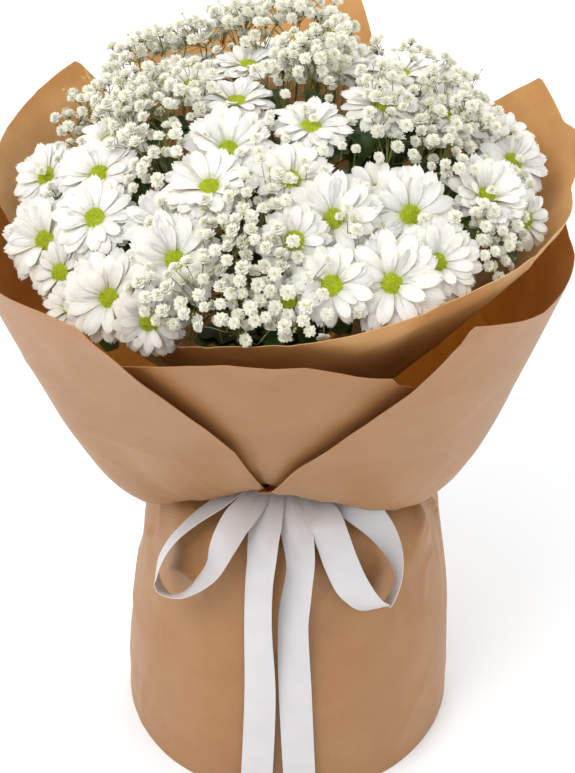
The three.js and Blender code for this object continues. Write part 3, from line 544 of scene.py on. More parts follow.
def woven_satin():
    material, tree, shader = new_material("woven_white_satin", {
        "Roughness": 0.36, "Anisotropic": 0.5, "Sheen Weight": 0.25, "Sheen Roughness": 0.4})
    place = add_node(tree, "ShaderNodeUVMap", uv_map="surface").outputs["UV"]
    along = add_node(tree, "ShaderNodeMapping", {"Vector": place, "Scale": (1, 0.02, 1)}).outputs["Vector"]
    threads = add_node(tree, "ShaderNodeTexNoise", {"Vector": along, "Scale": 1 / (THREAD * MM), "Detail": 2})
    solid = add_node(tree, "ShaderNodeTexCoord").outputs["Object"]
    clouds = add_node(tree, "ShaderNodeTexNoise", {"Vector": solid, "Scale": CLOUDS_PER_METRE, "Detail": 2})
    tone = add_node(tree, "ShaderNodeMix", {"Factor": clouds.outputs["Fac"], 6: linear("#D0CECF"),
                                            7: linear("#C3C0C2")}, data_type="RGBA")
    tree.links.new(tone.outputs[2], shader.inputs["Base Color"])
    ridges = add_node(tree, "ShaderNodeBump", {"Height": threads.outputs["Fac"], "Strength": 0.25,
                                               "Distance": 0.05 * MM})
    tree.links.new(ridges.outputs["Normal"], shader.inputs["Normal"])
    return material


satin = woven_satin()

# %% The strips of the bow
RIBBON_WIDTH = 25
RIBBON = 0.4
TAILS = {
    "ribbon_tail_left": [(-6, -36, 265, 0), (-9, -56, 263, 0), (-13, -76, 259, 5), (-17, -96, 249, 15),
                         (-19, -111, 236, 25), (-21, -118, 218, 28), (-22, -121, 180, 25),
                         (-21, -129, 110, 10), (-25, -137, 8, 0)],
    "ribbon_tail_right": [(0, -36, 265, 0), (2, -56, 263, 0), (4, -76, 259, 10), (7, -96, 249, 25),
                          (9, -112, 236, 38), (7.5, -119, 218, 42), (4, -122, 180, 30), (6, -130, 110, 8),
                          (10, -138, 10, 0)],
}
LOOPS = {
    "ribbon_loop_left": [(-6, -34, 267, 20), (-28, -52, 262, 35), (-49, -68, 256, 38), (-67, -74, 245, 42),
                         (-84, -81, 231, 46), (-95, -85, 212, 44), (-98, -89, 196, 40), (-90, -99, 190, 46),
                         (-73, -108, 204, 92), (-56, -111, 225, 135), (-47, -105, 243, 158),
                         (-38, -92, 254, 170), (-27, -77, 260, 176), (-6, -38, 264, 180)],
    "ribbon_loop_right": [(0, -38, 266, 0), (15, -74, 261, 0), (27, -91, 258, 5), (33, -102, 247, 10),
                          (39, -110, 232, 15), (48, -116, 213, 22), (61, -117, 196, 36), (73, -112, 192, 48),
                          (80, -107, 206, 54), (79, -102, 225, 80), (73, -95, 241, 104), (62, -86, 253, 126),
                          (45, -73, 260, 154), (2, -34, 267, 180)],
}  # x, y, z and the roll in degrees, at each stop from the knot


def through(stops, count):
    """Points evenly along a smooth line through the stops, with any further value that a stop holds."""
    stops = np.asarray(stops, float)
    knots = np.concatenate([[0], np.cumsum(np.linalg.norm(np.diff(stops[:, :3], axis=0), axis=1) ** 0.5)])
    fine = np.linspace(0, knots[-1], 12 * count)
    table = [(k, *p) for k, p in zip(knots, stops)]
    line = np.stack([smooth(table, fine, item) for item in range(1, stops.shape[1] + 1)], -1)
    length = np.concatenate([[0], np.cumsum(np.linalg.norm(np.diff(line[:, :3], axis=0), axis=1))])
    even = np.linspace(0, length[-1], count)
    return np.stack([np.interp(even, length, column) for column in line.T], -1), length[-1]


def ribbon_strip(name, stops, looped):
    """A strip that lies flat to the skirt where its roll is 0 or 180 and stands on edge at 90."""
    line, length = through(stops, 120)
    middle, roll = line[:, :3], np.radians(line[:, 3:])
    share = np.linspace(0, 1, len(middle))
    tangent = np.gradient(middle, axis=0)
    tangent /= np.linalg.norm(tangent, axis=1, keepdims=True)
    out = middle * (1, 1, 0)
    out /= np.linalg.norm(out, axis=1, keepdims=True)
    out[:, 2] = np.clip((middle[:, 2] - 205) / 35, 0, 1.5)
    across = np.cross(out, tangent)
    across /= np.linalg.norm(across, axis=1, keepdims=True)
    across = across * np.cos(roll) + np.cross(tangent, across) * np.sin(roll)
    face = np.cross(tangent, across)
    from_knot = np.minimum(share, 1 - share) if looped else share
    half = RIBBON_WIDTH / 2 * np.minimum(1, 0.45 + 3 * from_knot)
    pinched = 1 - half / (RIBBON_WIDTH / 2)
    columns = []
    for side in np.linspace(1, -1, 11):
        curl = -0.5 * side ** 2 + 2.4 * pinched * math.cos(2.5 * math.pi * side)
        columns.append(middle + across * (half * side)[:, None] + face * np.asarray(curl)[..., None])
    strip = sheet_of(name, np.stack(columns), RIBBON, [satin])
    finish_piece(strip, ["ribbon"])
    print(name, "is cut", round(length), "mm long")


for name, stops in TAILS.items():
    ribbon_strip(name, stops, looped=False)
for name, stops in LOOPS.items():
    ribbon_strip(name, stops, looped=True)

# %% The band round the tie, and the knot
BAND_RADIUS = 20.6
KNOT = (-3, -33, 266)
KNOT_SIZE = (16, 13.2, 10)


def ribbon_band():
    turn, share = np.meshgrid(np.arange(0, 360.1, 5), np.linspace(0, 1, 37), indexing="ij")
    grid = around(turn, BAND_RADIUS + 0.8 - 0.8 * np.cos(share * 8 * math.pi), WAIST_LOW + 1 + 17 * share)
    band = sheet_of("ribbon_band", grid, RIBBON, [satin])
    finish_piece(band, ["ribbon"])


def ribbon_knot():
    """The turn of ribbon over the bow, closed at both sides and pleated along the way it is pulled."""
    wrap, side = np.meshgrid(np.linspace(0, 2 * math.pi, 41)[:-1], np.linspace(-1, 1, 17), indexing="ij")
    fat = np.maximum(0, 1 - side ** 4) ** 0.5
    fat = np.where(np.abs(side) > 0.999, 0.02, fat) * (1 - 0.06 * np.cos(side * 5 * math.pi))
    points = np.stack([side * KNOT_SIZE[0] * (1 - 0.12 * np.cos(wrap)), -np.cos(wrap) * KNOT_SIZE[1] * fat,
                       np.sin(wrap) * KNOT_SIZE[2] * fat], -1) + KNOT
    count, rows, _ = points.shape
    index = np.arange(count * rows).reshape(count, rows)
    after = np.roll(index, -1, 0)
    faces = np.stack([after[:, :-1], after[:, 1:], index[:, 1:], index[:, :-1]], -1).reshape(-1, 4).tolist()
    faces += [index[:, 0].tolist(), index[::-1, -1].tolist()]
    uv = np.stack([side * 0.012, wrap * 0.01], -1).reshape(-1, 2)
    knot = mesh_object("ribbon_knot", points.reshape(-1, 3), faces, [satin], uv=uv)
    finish_piece(knot, ["ribbon"])


ribbon_band()
ribbon_knot()

# %% [markdown]
# ## What the paper holds back
#
# Petals and leaves near the rim press against the paper from inside. A point that would reach through a sheet
# is moved back until it lies inside, as the paper would push it.

# %% Holding plants inside the paper
PRESSED_FROM = 400
PRESSED_AFTER = -25
PRESSED_CLEARANCE = 4


def held_inside(piece):
    points = np.empty(3 * len(piece.data.vertices), np.float32)
    piece.data.vertices.foreach_get("co", points)
    points = points.reshape(-1, 3).astype(float) / MM
    turn = np.degrees(np.arctan2(points[:, 0], -points[:, 1])) % 360
    height = points[:, 2]
    allowed = np.full(len(points), np.inf)
    for waist, flare, top in FUNNELS.values():
        place = (turn - top[0][0]) % 360 + top[0][0]
        pressed = (place > PRESSED_AFTER) & (place < top[-1][0]) & (height > PRESSED_FROM)
        pressed &= height < cut_edge(top, place)
        wall = funnel_radius(place, height, waist, flare) - PRESSED_CLEARANCE
        allowed = np.where(pressed, np.minimum(allowed, wall), allowed)
    share = np.minimum(1, allowed / np.maximum(np.hypot(points[:, 0], points[:, 1]), 1))
    points[:, :2] *= share[:, None]
    piece.data.vertices.foreach_set("co", (points * MM).astype(np.float32).ravel())
    piece.data.update()
    return piece


# %% [markdown]
# ## Petals and hearts
#
# A daisy's petal is a ray floret: a soft white strap, broad past its middle, with two long grooves, a notched
# tip and a faint green foot. It lets some light through, so its shader scatters light under the surface. The
# heart is packed with tiny yellow-green florets.

# %% Materials of the daisies
TINTED_SHARE = 0.32  # of a petal's length, from its foot
VEIN_WAVES = 55.0


def living(name, young, old, size, roughness, scatter=0.0, foot_tint=None):
    """A plant surface: two tones that drift into each other, a soft gloss, and a little light let through.

    With a foot tint it is a petal's: the foot takes that tone, and veins run along the petal.
    """
    material, tree, shader = new_material(name, {
        "Roughness": roughness, "Subsurface Weight": scatter, "Subsurface Radius": (1.0, 0.95, 0.8),
        "Subsurface Scale": 3 * MM})
    place = add_node(tree, "ShaderNodeTexCoord").outputs["Object"]
    drift = add_node(tree, "ShaderNodeTexNoise", {"Vector": place, "Scale": 1 / (size * MM), "Detail": 3})
    spread = add_node(tree, "ShaderNodeMapRange", {"Value": drift.outputs["Fac"], "From Min": 0.35,
                                                   "From Max": 0.65})
    tone = add_node(tree, "ShaderNodeMix", {"Factor": spread.outputs["Result"], 6: linear(old),
                                            7: linear(young)}, data_type="RGBA")
    colour = tone.outputs[2]
    height = drift.outputs["Fac"]
    if foot_tint:
        along = add_node(tree, "ShaderNodeSeparateXYZ",
                         {"Vector": add_node(tree, "ShaderNodeUVMap", uv_map="surface").outputs["UV"]})
        foot = add_node(tree, "ShaderNodeMapRange", {"Value": along.outputs["X"], "From Max": TINTED_SHARE,
                                                     "To Min": 1.0, "To Max": 0.0})
        colour = add_node(tree, "ShaderNodeMix", {"Factor": foot.outputs["Result"], 6: colour,
                                                  7: linear(foot_tint)}, data_type="RGBA").outputs[2]
        veins = add_node(tree, "ShaderNodeMath", {0: along.outputs["Y"], 1: VEIN_WAVES}, operation="MULTIPLY")
        height = add_node(tree, "ShaderNodeMath", {0: veins.outputs[0]}, operation="SINE").outputs[0]
    tree.links.new(colour, shader.inputs["Base Color"])
    bump = add_node(tree, "ShaderNodeBump", {"Height": height, "Strength": 0.3, "Distance": 0.12 * MM})
    tree.links.new(bump.outputs["Normal"], shader.inputs["Normal"])
    return material


petal_white = living("white_ray_petal", "#F9F7EF", "#F2EEE0", size=9, roughness=0.55, scatter=0.5,
                     foot_tint="#D8DFA6")
heart_green = living("yellow_green_heart_florets", "#BAC41E", "#98A812", size=1.6, roughness=0.6)
calyx_green = living("green_calyx_and_twig", "#6C8A3C", "#4D6A28", size=12, roughness=0.55)
leaf_green = living("chrysanthemum_leaf", "#5C7A30", "#2C4420", size=22, roughness=0.5)
floret_white = living("gypsophila_floret", "#F8F6EC", "#E9E7D2", size=4, roughness=0.6, scatter=0.3)
floret_heart = living("gypsophila_heart", "#D3DA8E", "#BDC86E", size=3, roughness=0.6)
filler_green = living("gypsophila_twig", "#8B8C48", "#6B6A34", size=20, roughness=0.55)

# %% [markdown]
# ### Geometry Nodes for what repeats
#
# A daisy is the same petal set out on a ring, again and again, so Geometry Nodes do the setting out: a ring
# of points, a petal picked at random for each, a turn, a lift and a small wobble. Each bloom runs the tree
# with its own size and seed, which is why no two are alike. Realize Instances turns the copies into a mesh.

# %% Running a tree


def new_tree(name, sockets):
    """A Geometry Nodes group with named inputs, given as name, kind and value."""
    tree = bpy.data.node_groups.new(name, "GeometryNodeTree")
    tree.interface.new_socket("Geometry", in_out="INPUT", socket_type="NodeSocketGeometry")
    tree.interface.new_socket("Geometry", in_out="OUTPUT", socket_type="NodeSocketGeometry")
    for label, kind, value in sockets:
        socket = tree.interface.new_socket(label, in_out="INPUT", socket_type="NodeSocket" + kind)
        if value is not None:
            socket.default_value = value
    return tree, tree.nodes.new("NodeGroupInput"), tree.nodes.new("NodeGroupOutput")


def grow(source, tree, **values):
    """Runs a tree on an object and returns the result as a plain mesh."""
    bpy.context.scene.collection.objects.link(source)
    modifier = source.modifiers.new("grow", "NODES")
    modifier.node_group = tree
    for item in tree.interface.items_tree:
        if item.item_type == "SOCKET" and item.in_out == "INPUT" and item.name in values:
            modifier[item.identifier] = values[item.name]
    graph = bpy.context.evaluated_depsgraph_get()
    mesh = bpy.data.meshes.new_from_object(source.evaluated_get(graph), preserve_all_data_layers=True,
                                           depsgraph=graph)
    source.modifiers.remove(modifier)
    bpy.context.scene.collection.objects.unlink(source)
    return mesh


def joined_mesh(name, parts):
    """One mesh from several, each moved by its matrix."""
    objects = []
    for mesh, matrix in parts:
        piece = bpy.data.objects.new(name, mesh)
        bpy.context.scene.collection.objects.link(piece)
        mesh.transform(matrix)
        objects.append(piece)
    with bpy.context.temp_override(active_object=objects[0], object=objects[0], selected_objects=objects,
                                   selected_editable_objects=objects):
        bpy.ops.object.join()
    objects[0].name = name
    return objects[0]


# %% [markdown]
# ### One petal, three ways
#
# The petal is modelled at a length of 1 along X, so that one scale suits every bloom. It is a thin closed
# body: a top and an underside that meet along the rim. Three kinds are made: flat, cupped and curled back.

# %% The petals
PETAL_STRIPS = np.array([-1, -0.5, 0, 0.5, 1])
PETAL_ROWS = np.array([0, 0.18, 0.38, 0.56, 0.73, 0.86, 0.94, 0.985, 1])
PETAL_HALF = np.array([0.08, 0.13, 0.19, 0.218, 0.215, 0.185, 0.142, 0.105, 0.085])


def petal(name, cup, droop, notch, material, thick=0.022):
    along, side = np.meshgrid(PETAL_ROWS, PETAL_STRIPS, indexing="ij")
    half = PETAL_HALF[:, None] + 0 * side
    x = along - notch * along ** 6 * np.cos(2 * math.pi * side * 0.9)
    lift = cup * side ** 2 * np.sin(math.pi * np.minimum(1, along + 0.15))
    lift += 0.1 * np.sin(math.pi * 0.8 * along)
    groove = 0.008 * np.cos(2 * math.pi * side) * np.sin(math.pi * along)
    z = lift + groove - droop * along ** 2
    body = thick * (1 - side ** 2) * np.sin(math.pi * (0.12 + 0.86 * along)) / 2
    top = np.stack([x, half * side, z + body], -1).reshape(-1, 3)
    below = np.stack([x, half * side, z - body], -1).reshape(-1, 3)
    rows, strips = along.shape
    index = np.arange(rows * strips).reshape(rows, strips)
    rim = np.zeros((rows, strips), bool)
    rim[0] = rim[-1] = True
    rim[:, 0] = rim[:, -1] = True
    lower = np.where(rim, index, index + rows * strips)
    up = np.stack([index[:-1, :-1], index[1:, :-1], index[1:, 1:], index[:-1, 1:]], -1).reshape(-1, 4)
    down = np.stack([lower[:-1, 1:], lower[1:, 1:], lower[1:, :-1], lower[:-1, :-1]], -1).reshape(-1, 4)
    points = np.concatenate([top, below])
    faces = np.concatenate([up, down])
    used = np.unique(faces)
    renumber = np.zeros(len(points), int)
    renumber[used] = np.arange(len(used))
    uv = np.stack([along, 0.5 + 0.5 * side], -1).reshape(-1, 2)
    uv = np.concatenate([uv, uv])[used]
    return mesh_object(name, points[used] / MM, renumber[faces], [material], uv=uv)


def kept_aside(name, objects):
    """A collection outside the scene, for shapes that trees copy."""
    collection = bpy.data.collections.new(name)
    for shape in objects:
        collection.objects.link(shape)
    return collection


petals = kept_aside("petals", [
    petal("petal_flat", cup=0.02, droop=0.06, notch=0.03, material=petal_white),
    petal("petal_cupped", cup=0.06, droop=-0.03, notch=0.04, material=petal_white),
    petal("petal_curled", cup=-0.03, droop=0.15, notch=0.02, material=petal_white),
])

# %% The tree that sets petals out on a ring
SHORTEST_PETAL = 0.86  # as a share of the longest in its row


def ring_tree():
    tree, given, result = new_tree("petal_ring", [
        ("Petals", "Collection", None), ("Count", "Int", 12), ("Foot radius", "Float", 0.004),
        ("Length", "Float", 0.02), ("Lift", "Float", 0.1), ("Wobble", "Float", 0.12), ("Seed", "Int", 1),
        ("Material", "Material", None)])
    ring = add_node(tree, "GeometryNodeMeshCircle", {"Vertices": given.outputs["Count"],
                                                     "Radius": given.outputs["Foot radius"]})
    shapes = add_node(tree, "GeometryNodeCollectionInfo", {"Collection": given.outputs["Petals"],
                                                           "Separate Children": True, "Reset Children": True})
    index = add_node(tree, "GeometryNodeInputIndex").outputs[0]
    step = add_node(tree, "ShaderNodeMath", {0: 2 * math.pi, 1: given.outputs["Count"]}, operation="DIVIDE")
    angle = add_node(tree, "ShaderNodeMath", {0: index, 1: step.outputs[0]}, operation="MULTIPLY")

    def wobble(amount, seed):
        low = add_node(tree, "ShaderNodeMath", {0: amount, 1: -1.0}, operation="MULTIPLY").outputs[0]
        shifted = add_node(tree, "ShaderNodeMath", {0: given.outputs["Seed"], 1: float(seed)},
                           operation="ADD")
        between = {"Min": low, "Max": amount, "Seed": shifted.outputs[0]}
        return add_node(tree, "FunctionNodeRandomValue", between, data_type="FLOAT").outputs["Value"]

    amount = given.outputs["Wobble"]
    lift = add_node(tree, "ShaderNodeMath", {0: wobble(amount, 1), 1: given.outputs["Lift"]},
                    operation="SUBTRACT")
    turn = add_node(tree, "ShaderNodeMath", {0: wobble(amount, 2), 1: angle.outputs[0]}, operation="ADD")
    roll = wobble(amount, 3)
    turned = add_node(tree, "ShaderNodeCombineXYZ", {"X": roll, "Y": lift.outputs[0], "Z": turn.outputs[0]})
    between = {"Min": SHORTEST_PETAL, "Max": 1.0, "Seed": given.outputs["Seed"]}
    longer = add_node(tree, "FunctionNodeRandomValue", between, data_type="FLOAT").outputs["Value"]
    length = add_node(tree, "ShaderNodeMath", {0: longer, 1: given.outputs["Length"]}, operation="MULTIPLY")
    placed = add_node(tree, "GeometryNodeInstanceOnPoints", {
        "Points": ring.outputs["Mesh"], "Instance": shapes.outputs[0], "Pick Instance": True,
        "Rotation": turned.outputs[0], "Scale": length.outputs[0]})
    real = add_node(tree, "GeometryNodeRealizeInstances", {"Geometry": placed.outputs[0]})
    dressed = add_node(tree, "GeometryNodeSetMaterial", {"Geometry": real.outputs[0],
                                                         "Material": given.outputs["Material"]})
    tree.links.new(dressed.outputs[0], result.inputs[0])
    return tree


petal_ring = ring_tree()

# %% [markdown]
# ### The heart
#
# A heart's florets grow at 137.5 degrees to each other, the turn that packs them evenly, which draws the
# well-known spirals. The tree puts one bead at each step of that spiral, on a low dome.

# %% The tree that packs the heart


def bead(name, height, material):
    """A small pointed bead, with eight faces."""
    angle = np.arange(4) * math.pi / 2
    points = [(math.cos(a), math.sin(a), 0.0) for a in angle] + [(0, 0, height), (0, 0, -0.8)]
    faces = [(k, (k + 1) % 4, 4) for k in range(4)] + [((k + 1) % 4, k, 5) for k in range(4)]
    return mesh_object(name, np.array(points) / MM, faces, [material])


heart_beads = kept_aside("heart_beads", [bead("heart_bead", 1.1, heart_green)])
GOLDEN_ANGLE = math.radians(137.508)


def heart_tree():
    tree, given, result = new_tree("heart_spiral", [
        ("Beads", "Collection", None), ("Count", "Int", 130), ("Radius", "Float", 0.0066),
        ("Rise", "Float", 0.002), ("Foot", "Float", 0.002), ("Bead", "Float", 0.0007),
        ("Material", "Material", None)])
    spots = add_node(tree, "GeometryNodePoints", {"Count": given.outputs["Count"]})
    shapes = add_node(tree, "GeometryNodeCollectionInfo", {"Collection": given.outputs["Beads"]})
    index = add_node(tree, "GeometryNodeInputIndex").outputs[0]
    share = add_node(tree, "ShaderNodeMath", {0: index, 1: given.outputs["Count"]},
                     operation="DIVIDE").outputs[0]
    root = add_node(tree, "ShaderNodeMath", {0: share}, operation="SQRT").outputs[0]
    reach = add_node(tree, "ShaderNodeMath", {0: root, 1: given.outputs["Radius"]}, operation="MULTIPLY")
    angle = add_node(tree, "ShaderNodeMath", {0: index, 1: GOLDEN_ANGLE}, operation="MULTIPLY").outputs[0]
    across = []
    for operation in ("COSINE", "SINE"):
        wave = add_node(tree, "ShaderNodeMath", {0: angle}, operation=operation).outputs[0]
        across.append(add_node(tree, "ShaderNodeMath", {0: reach.outputs[0], 1: wave}, operation="MULTIPLY"))
    fall = add_node(tree, "ShaderNodeMath", {0: 1.0, 1: share}, operation="SUBTRACT").outputs[0]
    rise = add_node(tree, "ShaderNodeMath", {0: fall, 1: given.outputs["Rise"], 2: given.outputs["Foot"]},
                    operation="MULTIPLY_ADD").outputs[0]
    place = add_node(tree, "ShaderNodeCombineXYZ", {"X": across[0].outputs[0], "Y": across[1].outputs[0],
                                                    "Z": rise}).outputs[0]
    spread = add_node(tree, "GeometryNodeSetPosition", {"Geometry": spots.outputs[0], "Position": place})
    size = add_node(tree, "FunctionNodeRandomValue", {"Min": 0.8, "Max": 1.15}, data_type="FLOAT")
    scale = add_node(tree, "ShaderNodeMath", {0: size.outputs["Value"], 1: given.outputs["Bead"]},
                     operation="MULTIPLY").outputs[0]
    placed = add_node(tree, "GeometryNodeInstanceOnPoints", {"Points": spread.outputs[0],
                                                             "Instance": shapes.outputs[0], "Scale": scale})
    real = add_node(tree, "GeometryNodeRealizeInstances", {"Geometry": placed.outputs[0]})
    dressed = add_node(tree, "GeometryNodeSetMaterial", {"Geometry": real.outputs[0],
                                                         "Material": given.outputs["Material"]})
    tree.links.new(dressed.outputs[0], result.inputs[0])
    return tree


heart_spiral = heart_tree()

# %% [markdown]
# ### The blooms
#
# Each packed petal ring gives its bloom's heart, the way it faces and its radius. The bloom gets two full
# rows of petals that lie out flat, half a step apart, a shorter row above them, and four more that stand a
# little higher. Real petals differ in length and the longest lap over the next bloom.

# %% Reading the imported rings
UNDER_ALL_BLOOMS = (0, 0, 0.2)
FOOT_REACH = 1.1  # points up to this many times as far out as the nearest one make the ring's foot


def ring_facts(node):
    """The middle of a ring's foot, its upward direction and its radius, in metres."""
    points = np.array([v.co[:] for v in frame["nodes"][node].data.vertices])
    points = np.unique(points.round(6), axis=0)
    middle = points.mean(0)
    up = np.linalg.svd(points - middle)[2][2]
    up *= np.sign(up @ (middle - UNDER_ALL_BLOOMS))
    flat = (points - middle) - np.outer((points - middle) @ up, up)
    reach = np.linalg.norm(flat, axis=1)
    foot = points[reach < FOOT_REACH * reach.min()].mean(0)
    return Vector(foot), Vector(up), float(reach.max())


BLOOMS = {node: ring_facts(node) for node in sorted(frame["nodes"])
          if node.startswith("daisy_") and node[6:].isdigit()}
print(len(BLOOMS), "blooms, radii from", round(min(b[2] for b in BLOOMS.values()) / MM, 1), "to",
      round(max(b[2] for b in BLOOMS.values()) / MM, 1), "mm")


def upright(place, up, spin=0.0):
    """The matrix that stands a shape made about Z at a place, along a direction."""
    turned = up.to_track_quat("Z", "Y").to_matrix().to_4x4() @ Matrix.Rotation(spin, 4, "Z")
    return Matrix.Translation(place) @ turned


# %% The blooms
ABOUT_A_TURN = 6.28
CUPPED = ("daisy_09", "daisy_13")
HEART_FOOT = 1.9 * MM
HEART_LARGEST = 7.2 * MM
PETAL_FOOT = 4.6 * MM
PETALS_IN_ROW = ((0.0235, 17), (0.0185, 15), (0, 12))  # least radius of the bloom, and the first row's count
PETAL_TURNS = ((0, 1.36, -0.08, 0.13), (1, 1.28, 0.03, 0.13),
               (3, 1.12, 0.15, 0.16))  # fewer petals, length, lift and wobble of each full row
UPPER_PETALS = (4, 0.98, 0.26, 0.3)


def dome(name, radius, rise, material):
    """The body under the heart's florets, closed below."""
    rings, sides = 4, 16
    points = [(0, 0, HEART_FOOT + rise), (0, 0, HEART_FOOT - 1.2 * MM)]
    for k in range(1, rings + 1):
        share = k / rings
        for s in range(sides):
            a = 2 * math.pi * s / sides
            points.append((share * radius * math.cos(a), share * radius * math.sin(a),
                           HEART_FOOT + rise * (1 - share ** 2)))
    at = lambda k, s: 2 + (k - 1) * sides + s % sides
    faces = [(0, at(1, s), at(1, s + 1)) for s in range(sides)]
    for k in range(1, rings):
        faces += [(at(k, s), at(k + 1, s), at(k + 1, s + 1), at(k, s + 1)) for s in range(sides)]
    faces += [(1, at(rings, s + 1), at(rings, s)) for s in range(sides)]
    return mesh_object(name, np.array(points) / MM, faces, [material]).data


def bloom(node, number):
    place, up, radius = BLOOMS[node]
    chance = random.Random(1000 + number)
    spin = chance.uniform(0, ABOUT_A_TURN)
    closed = 0.42 if node in CUPPED else chance.uniform(0.02, 0.16)
    full = next(count for least, count in PETALS_IN_ROW if radius > least)
    rows = [(full - fewer, *row) for fewer, *row in PETAL_TURNS] + [UPPER_PETALS]
    parts = []
    for row, (count, reach, lift, wobble) in enumerate(rows):
        mesh = grow(bpy.data.objects.new("ring", bpy.data.meshes.new("ring")), petal_ring, Petals=petals,
                    Count=count, Length=(radius - PETAL_FOOT) * reach, Lift=closed + lift, Wobble=wobble,
                    Seed=7 * number + row, Material=petal_white, **{"Foot radius": PETAL_FOOT})
        parts.append((mesh, upright(place + up * (0.5 * row * MM), up, spin + row * math.pi / count)))
    disc = min(HEART_LARGEST, 0.3 * radius + 1.0 * MM)
    mesh = grow(bpy.data.objects.new("heart", bpy.data.meshes.new("heart")), heart_spiral, Beads=heart_beads,
                Count=int(130 * (disc / 0.0066) ** 2), Radius=disc, Rise=1.9 * MM, Foot=HEART_FOOT,
                Bead=0.62 * MM, Material=heart_green)
    parts.append((mesh, upright(place, up, spin)))
    parts.append((dome("dome", disc, 1.7 * MM, heart_green), upright(place, up)))
    return joined_mesh(node.replace("daisy", "daisy_bloom"), parts)


for number, node in enumerate(BLOOMS):
    finish_piece(held_inside(bloom(node, number)), [node])

# %% [markdown]
# ## Stems, twigs and leaves
#
# Stems and twigs follow lines, so a tree makes them: it takes lines with a thickness at each point and sweeps
# a small circle along them. The stems cross in a spiral at the tie, as a florist lays them. Leaves are lobed
# and grow from the twigs, and show dark in the gaps between the blooms.

# %% The tree that thickens lines


def twig_tree():
    tree, given, result = new_tree("thicken_lines", [("Sides", "Int", 6), ("Material", "Material", None)])
    lines = add_node(tree, "GeometryNodeMeshToCurve", {"Mesh": given.outputs["Geometry"]})
    thick = add_node(tree, "GeometryNodeInputNamedAttribute", {"Name": "thickness"},
                     data_type="FLOAT").outputs[0]
    sized = add_node(tree, "GeometryNodeSetCurveRadius", {"Curve": lines.outputs[0], "Radius": thick})
    circle = add_node(tree, "GeometryNodeCurvePrimitiveCircle", {"Resolution": given.outputs["Sides"],
                                                                 "Radius": 1.0})
    swept = add_node(tree, "GeometryNodeCurveToMesh", {"Curve": sized.outputs[0],
                                                       "Profile Curve": circle.outputs[0], "Fill Caps": True})
    if "Scale" in swept.inputs:
        tree.links.new(thick, swept.inputs["Scale"])
    shaded = add_node(tree, "GeometryNodeSetShadeSmooth", {0: swept.outputs[0], "Shade Smooth": True})
    real = add_node(tree, "GeometryNodeRealizeInstances", {"Geometry": shaded.outputs[0]})
    dressed = add_node(tree, "GeometryNodeSetMaterial", {"Geometry": real.outputs[0],
                                                         "Material": given.outputs["Material"]})
    tree.links.new(dressed.outputs[0], result.inputs[0])
    return tree


thicken = twig_tree()


def thickened(lines, sides, material):
    """One mesh of tubes from lines of points in metres, each with a radius at its start and at its end."""
    points, edges, radii = [], [], []
    for line, start, end in lines:
        first = len(points)
        points += [tuple(p) for p in line]
        edges += [(first + k, first + k + 1) for k in range(len(line) - 1)]
        radii += np.linspace(start, end, len(line)).tolist()
    mesh = bpy.data.meshes.new("lines")
    mesh.from_pydata(points, edges, [])
    mesh.attributes.new("thickness", "FLOAT", "POINT").data.foreach_set("value", radii)
    return grow(bpy.data.objects.new("lines", mesh), thicken, Sides=sides, Material=material)


# %% [markdown]
# ### Leaves
#
# The leaf is modelled once, flat along X at a length of 1, with the deep round lobes of a chrysanthemum's
# leaf, a sunken middle rib and a thin closed body, and set out on the twigs by a tree that reads where each
# one sits and which way it points.

# %% The leaf
LEAF_OUTLINE = [(0, 0.02), (0.1, 0.03), (0.18, 0.14), (0.27, 0.24), (0.35, 0.17), (0.4, 0.12), (0.48, 0.24),
                (0.58, 0.33), (0.66, 0.22), (0.71, 0.14), (0.78, 0.22), (0.86, 0.23), (0.94, 0.13), (1, 0.02)]


def leaf(name, arch, fold, material):
    along = np.array([p[0] for p in LEAF_OUTLINE])[:, None]
    half = np.array([p[1] for p in LEAF_OUTLINE])[:, None]
    side = np.array([-1, -0.55, 0, 0.55, 1])[None]
    ripple = 0.02 * np.sin(19 * along) * np.abs(side)
    z = arch * np.sin(math.pi * along) + fold * np.abs(side) * half / 0.3 + ripple
    grid = np.stack([along + 0 * side, half * side, z], -1)
    return sheet_of(name, grid[::-1] / MM, 0.012 / MM, [material])


leaves = kept_aside("leaves", [leaf("leaf_open", arch=0.05, fold=0.05, material=leaf_green),
                               leaf("leaf_folded", arch=0.1, fold=0.12, material=leaf_green)])


def set_out_tree():
    tree, given, result = new_tree("set_out", [("Shapes", "Collection", None), ("Seed", "Int", 1)])
    shapes = add_node(tree, "GeometryNodeCollectionInfo", {"Collection": given.outputs["Shapes"],
                                                           "Separate Children": True, "Reset Children": True})
    facing = add_node(tree, "GeometryNodeInputNamedAttribute", {"Name": "facing"}, data_type="FLOAT_VECTOR")
    upward = add_node(tree, "GeometryNodeInputNamedAttribute", {"Name": "upward"}, data_type="FLOAT_VECTOR")
    size = add_node(tree, "GeometryNodeInputNamedAttribute", {"Name": "size"}, data_type="FLOAT")
    first = add_node(tree, "FunctionNodeAlignRotationToVector", {"Vector": facing.outputs[0]}, axis="X")
    both = add_node(tree, "FunctionNodeAlignRotationToVector",
                    {"Rotation": first.outputs[0], "Vector": upward.outputs[0]}, axis="Z", pivot_axis="X")
    spots = add_node(tree, "GeometryNodeMeshToPoints", {"Mesh": given.outputs["Geometry"]})
    pick = add_node(tree, "FunctionNodeRandomValue", {"Seed": given.outputs["Seed"], 4: 0, 5: 9},
                    data_type="INT")
    placed = add_node(tree, "GeometryNodeInstanceOnPoints", {
        "Points": spots.outputs[0], "Instance": shapes.outputs[0], "Pick Instance": True,
        "Instance Index": pick.outputs[2], "Rotation": both.outputs[0], "Scale": size.outputs[0]})
    real = add_node(tree, "GeometryNodeRealizeInstances", {"Geometry": placed.outputs[0]})
    tree.links.new(real.outputs[0], result.inputs[0])
    return tree


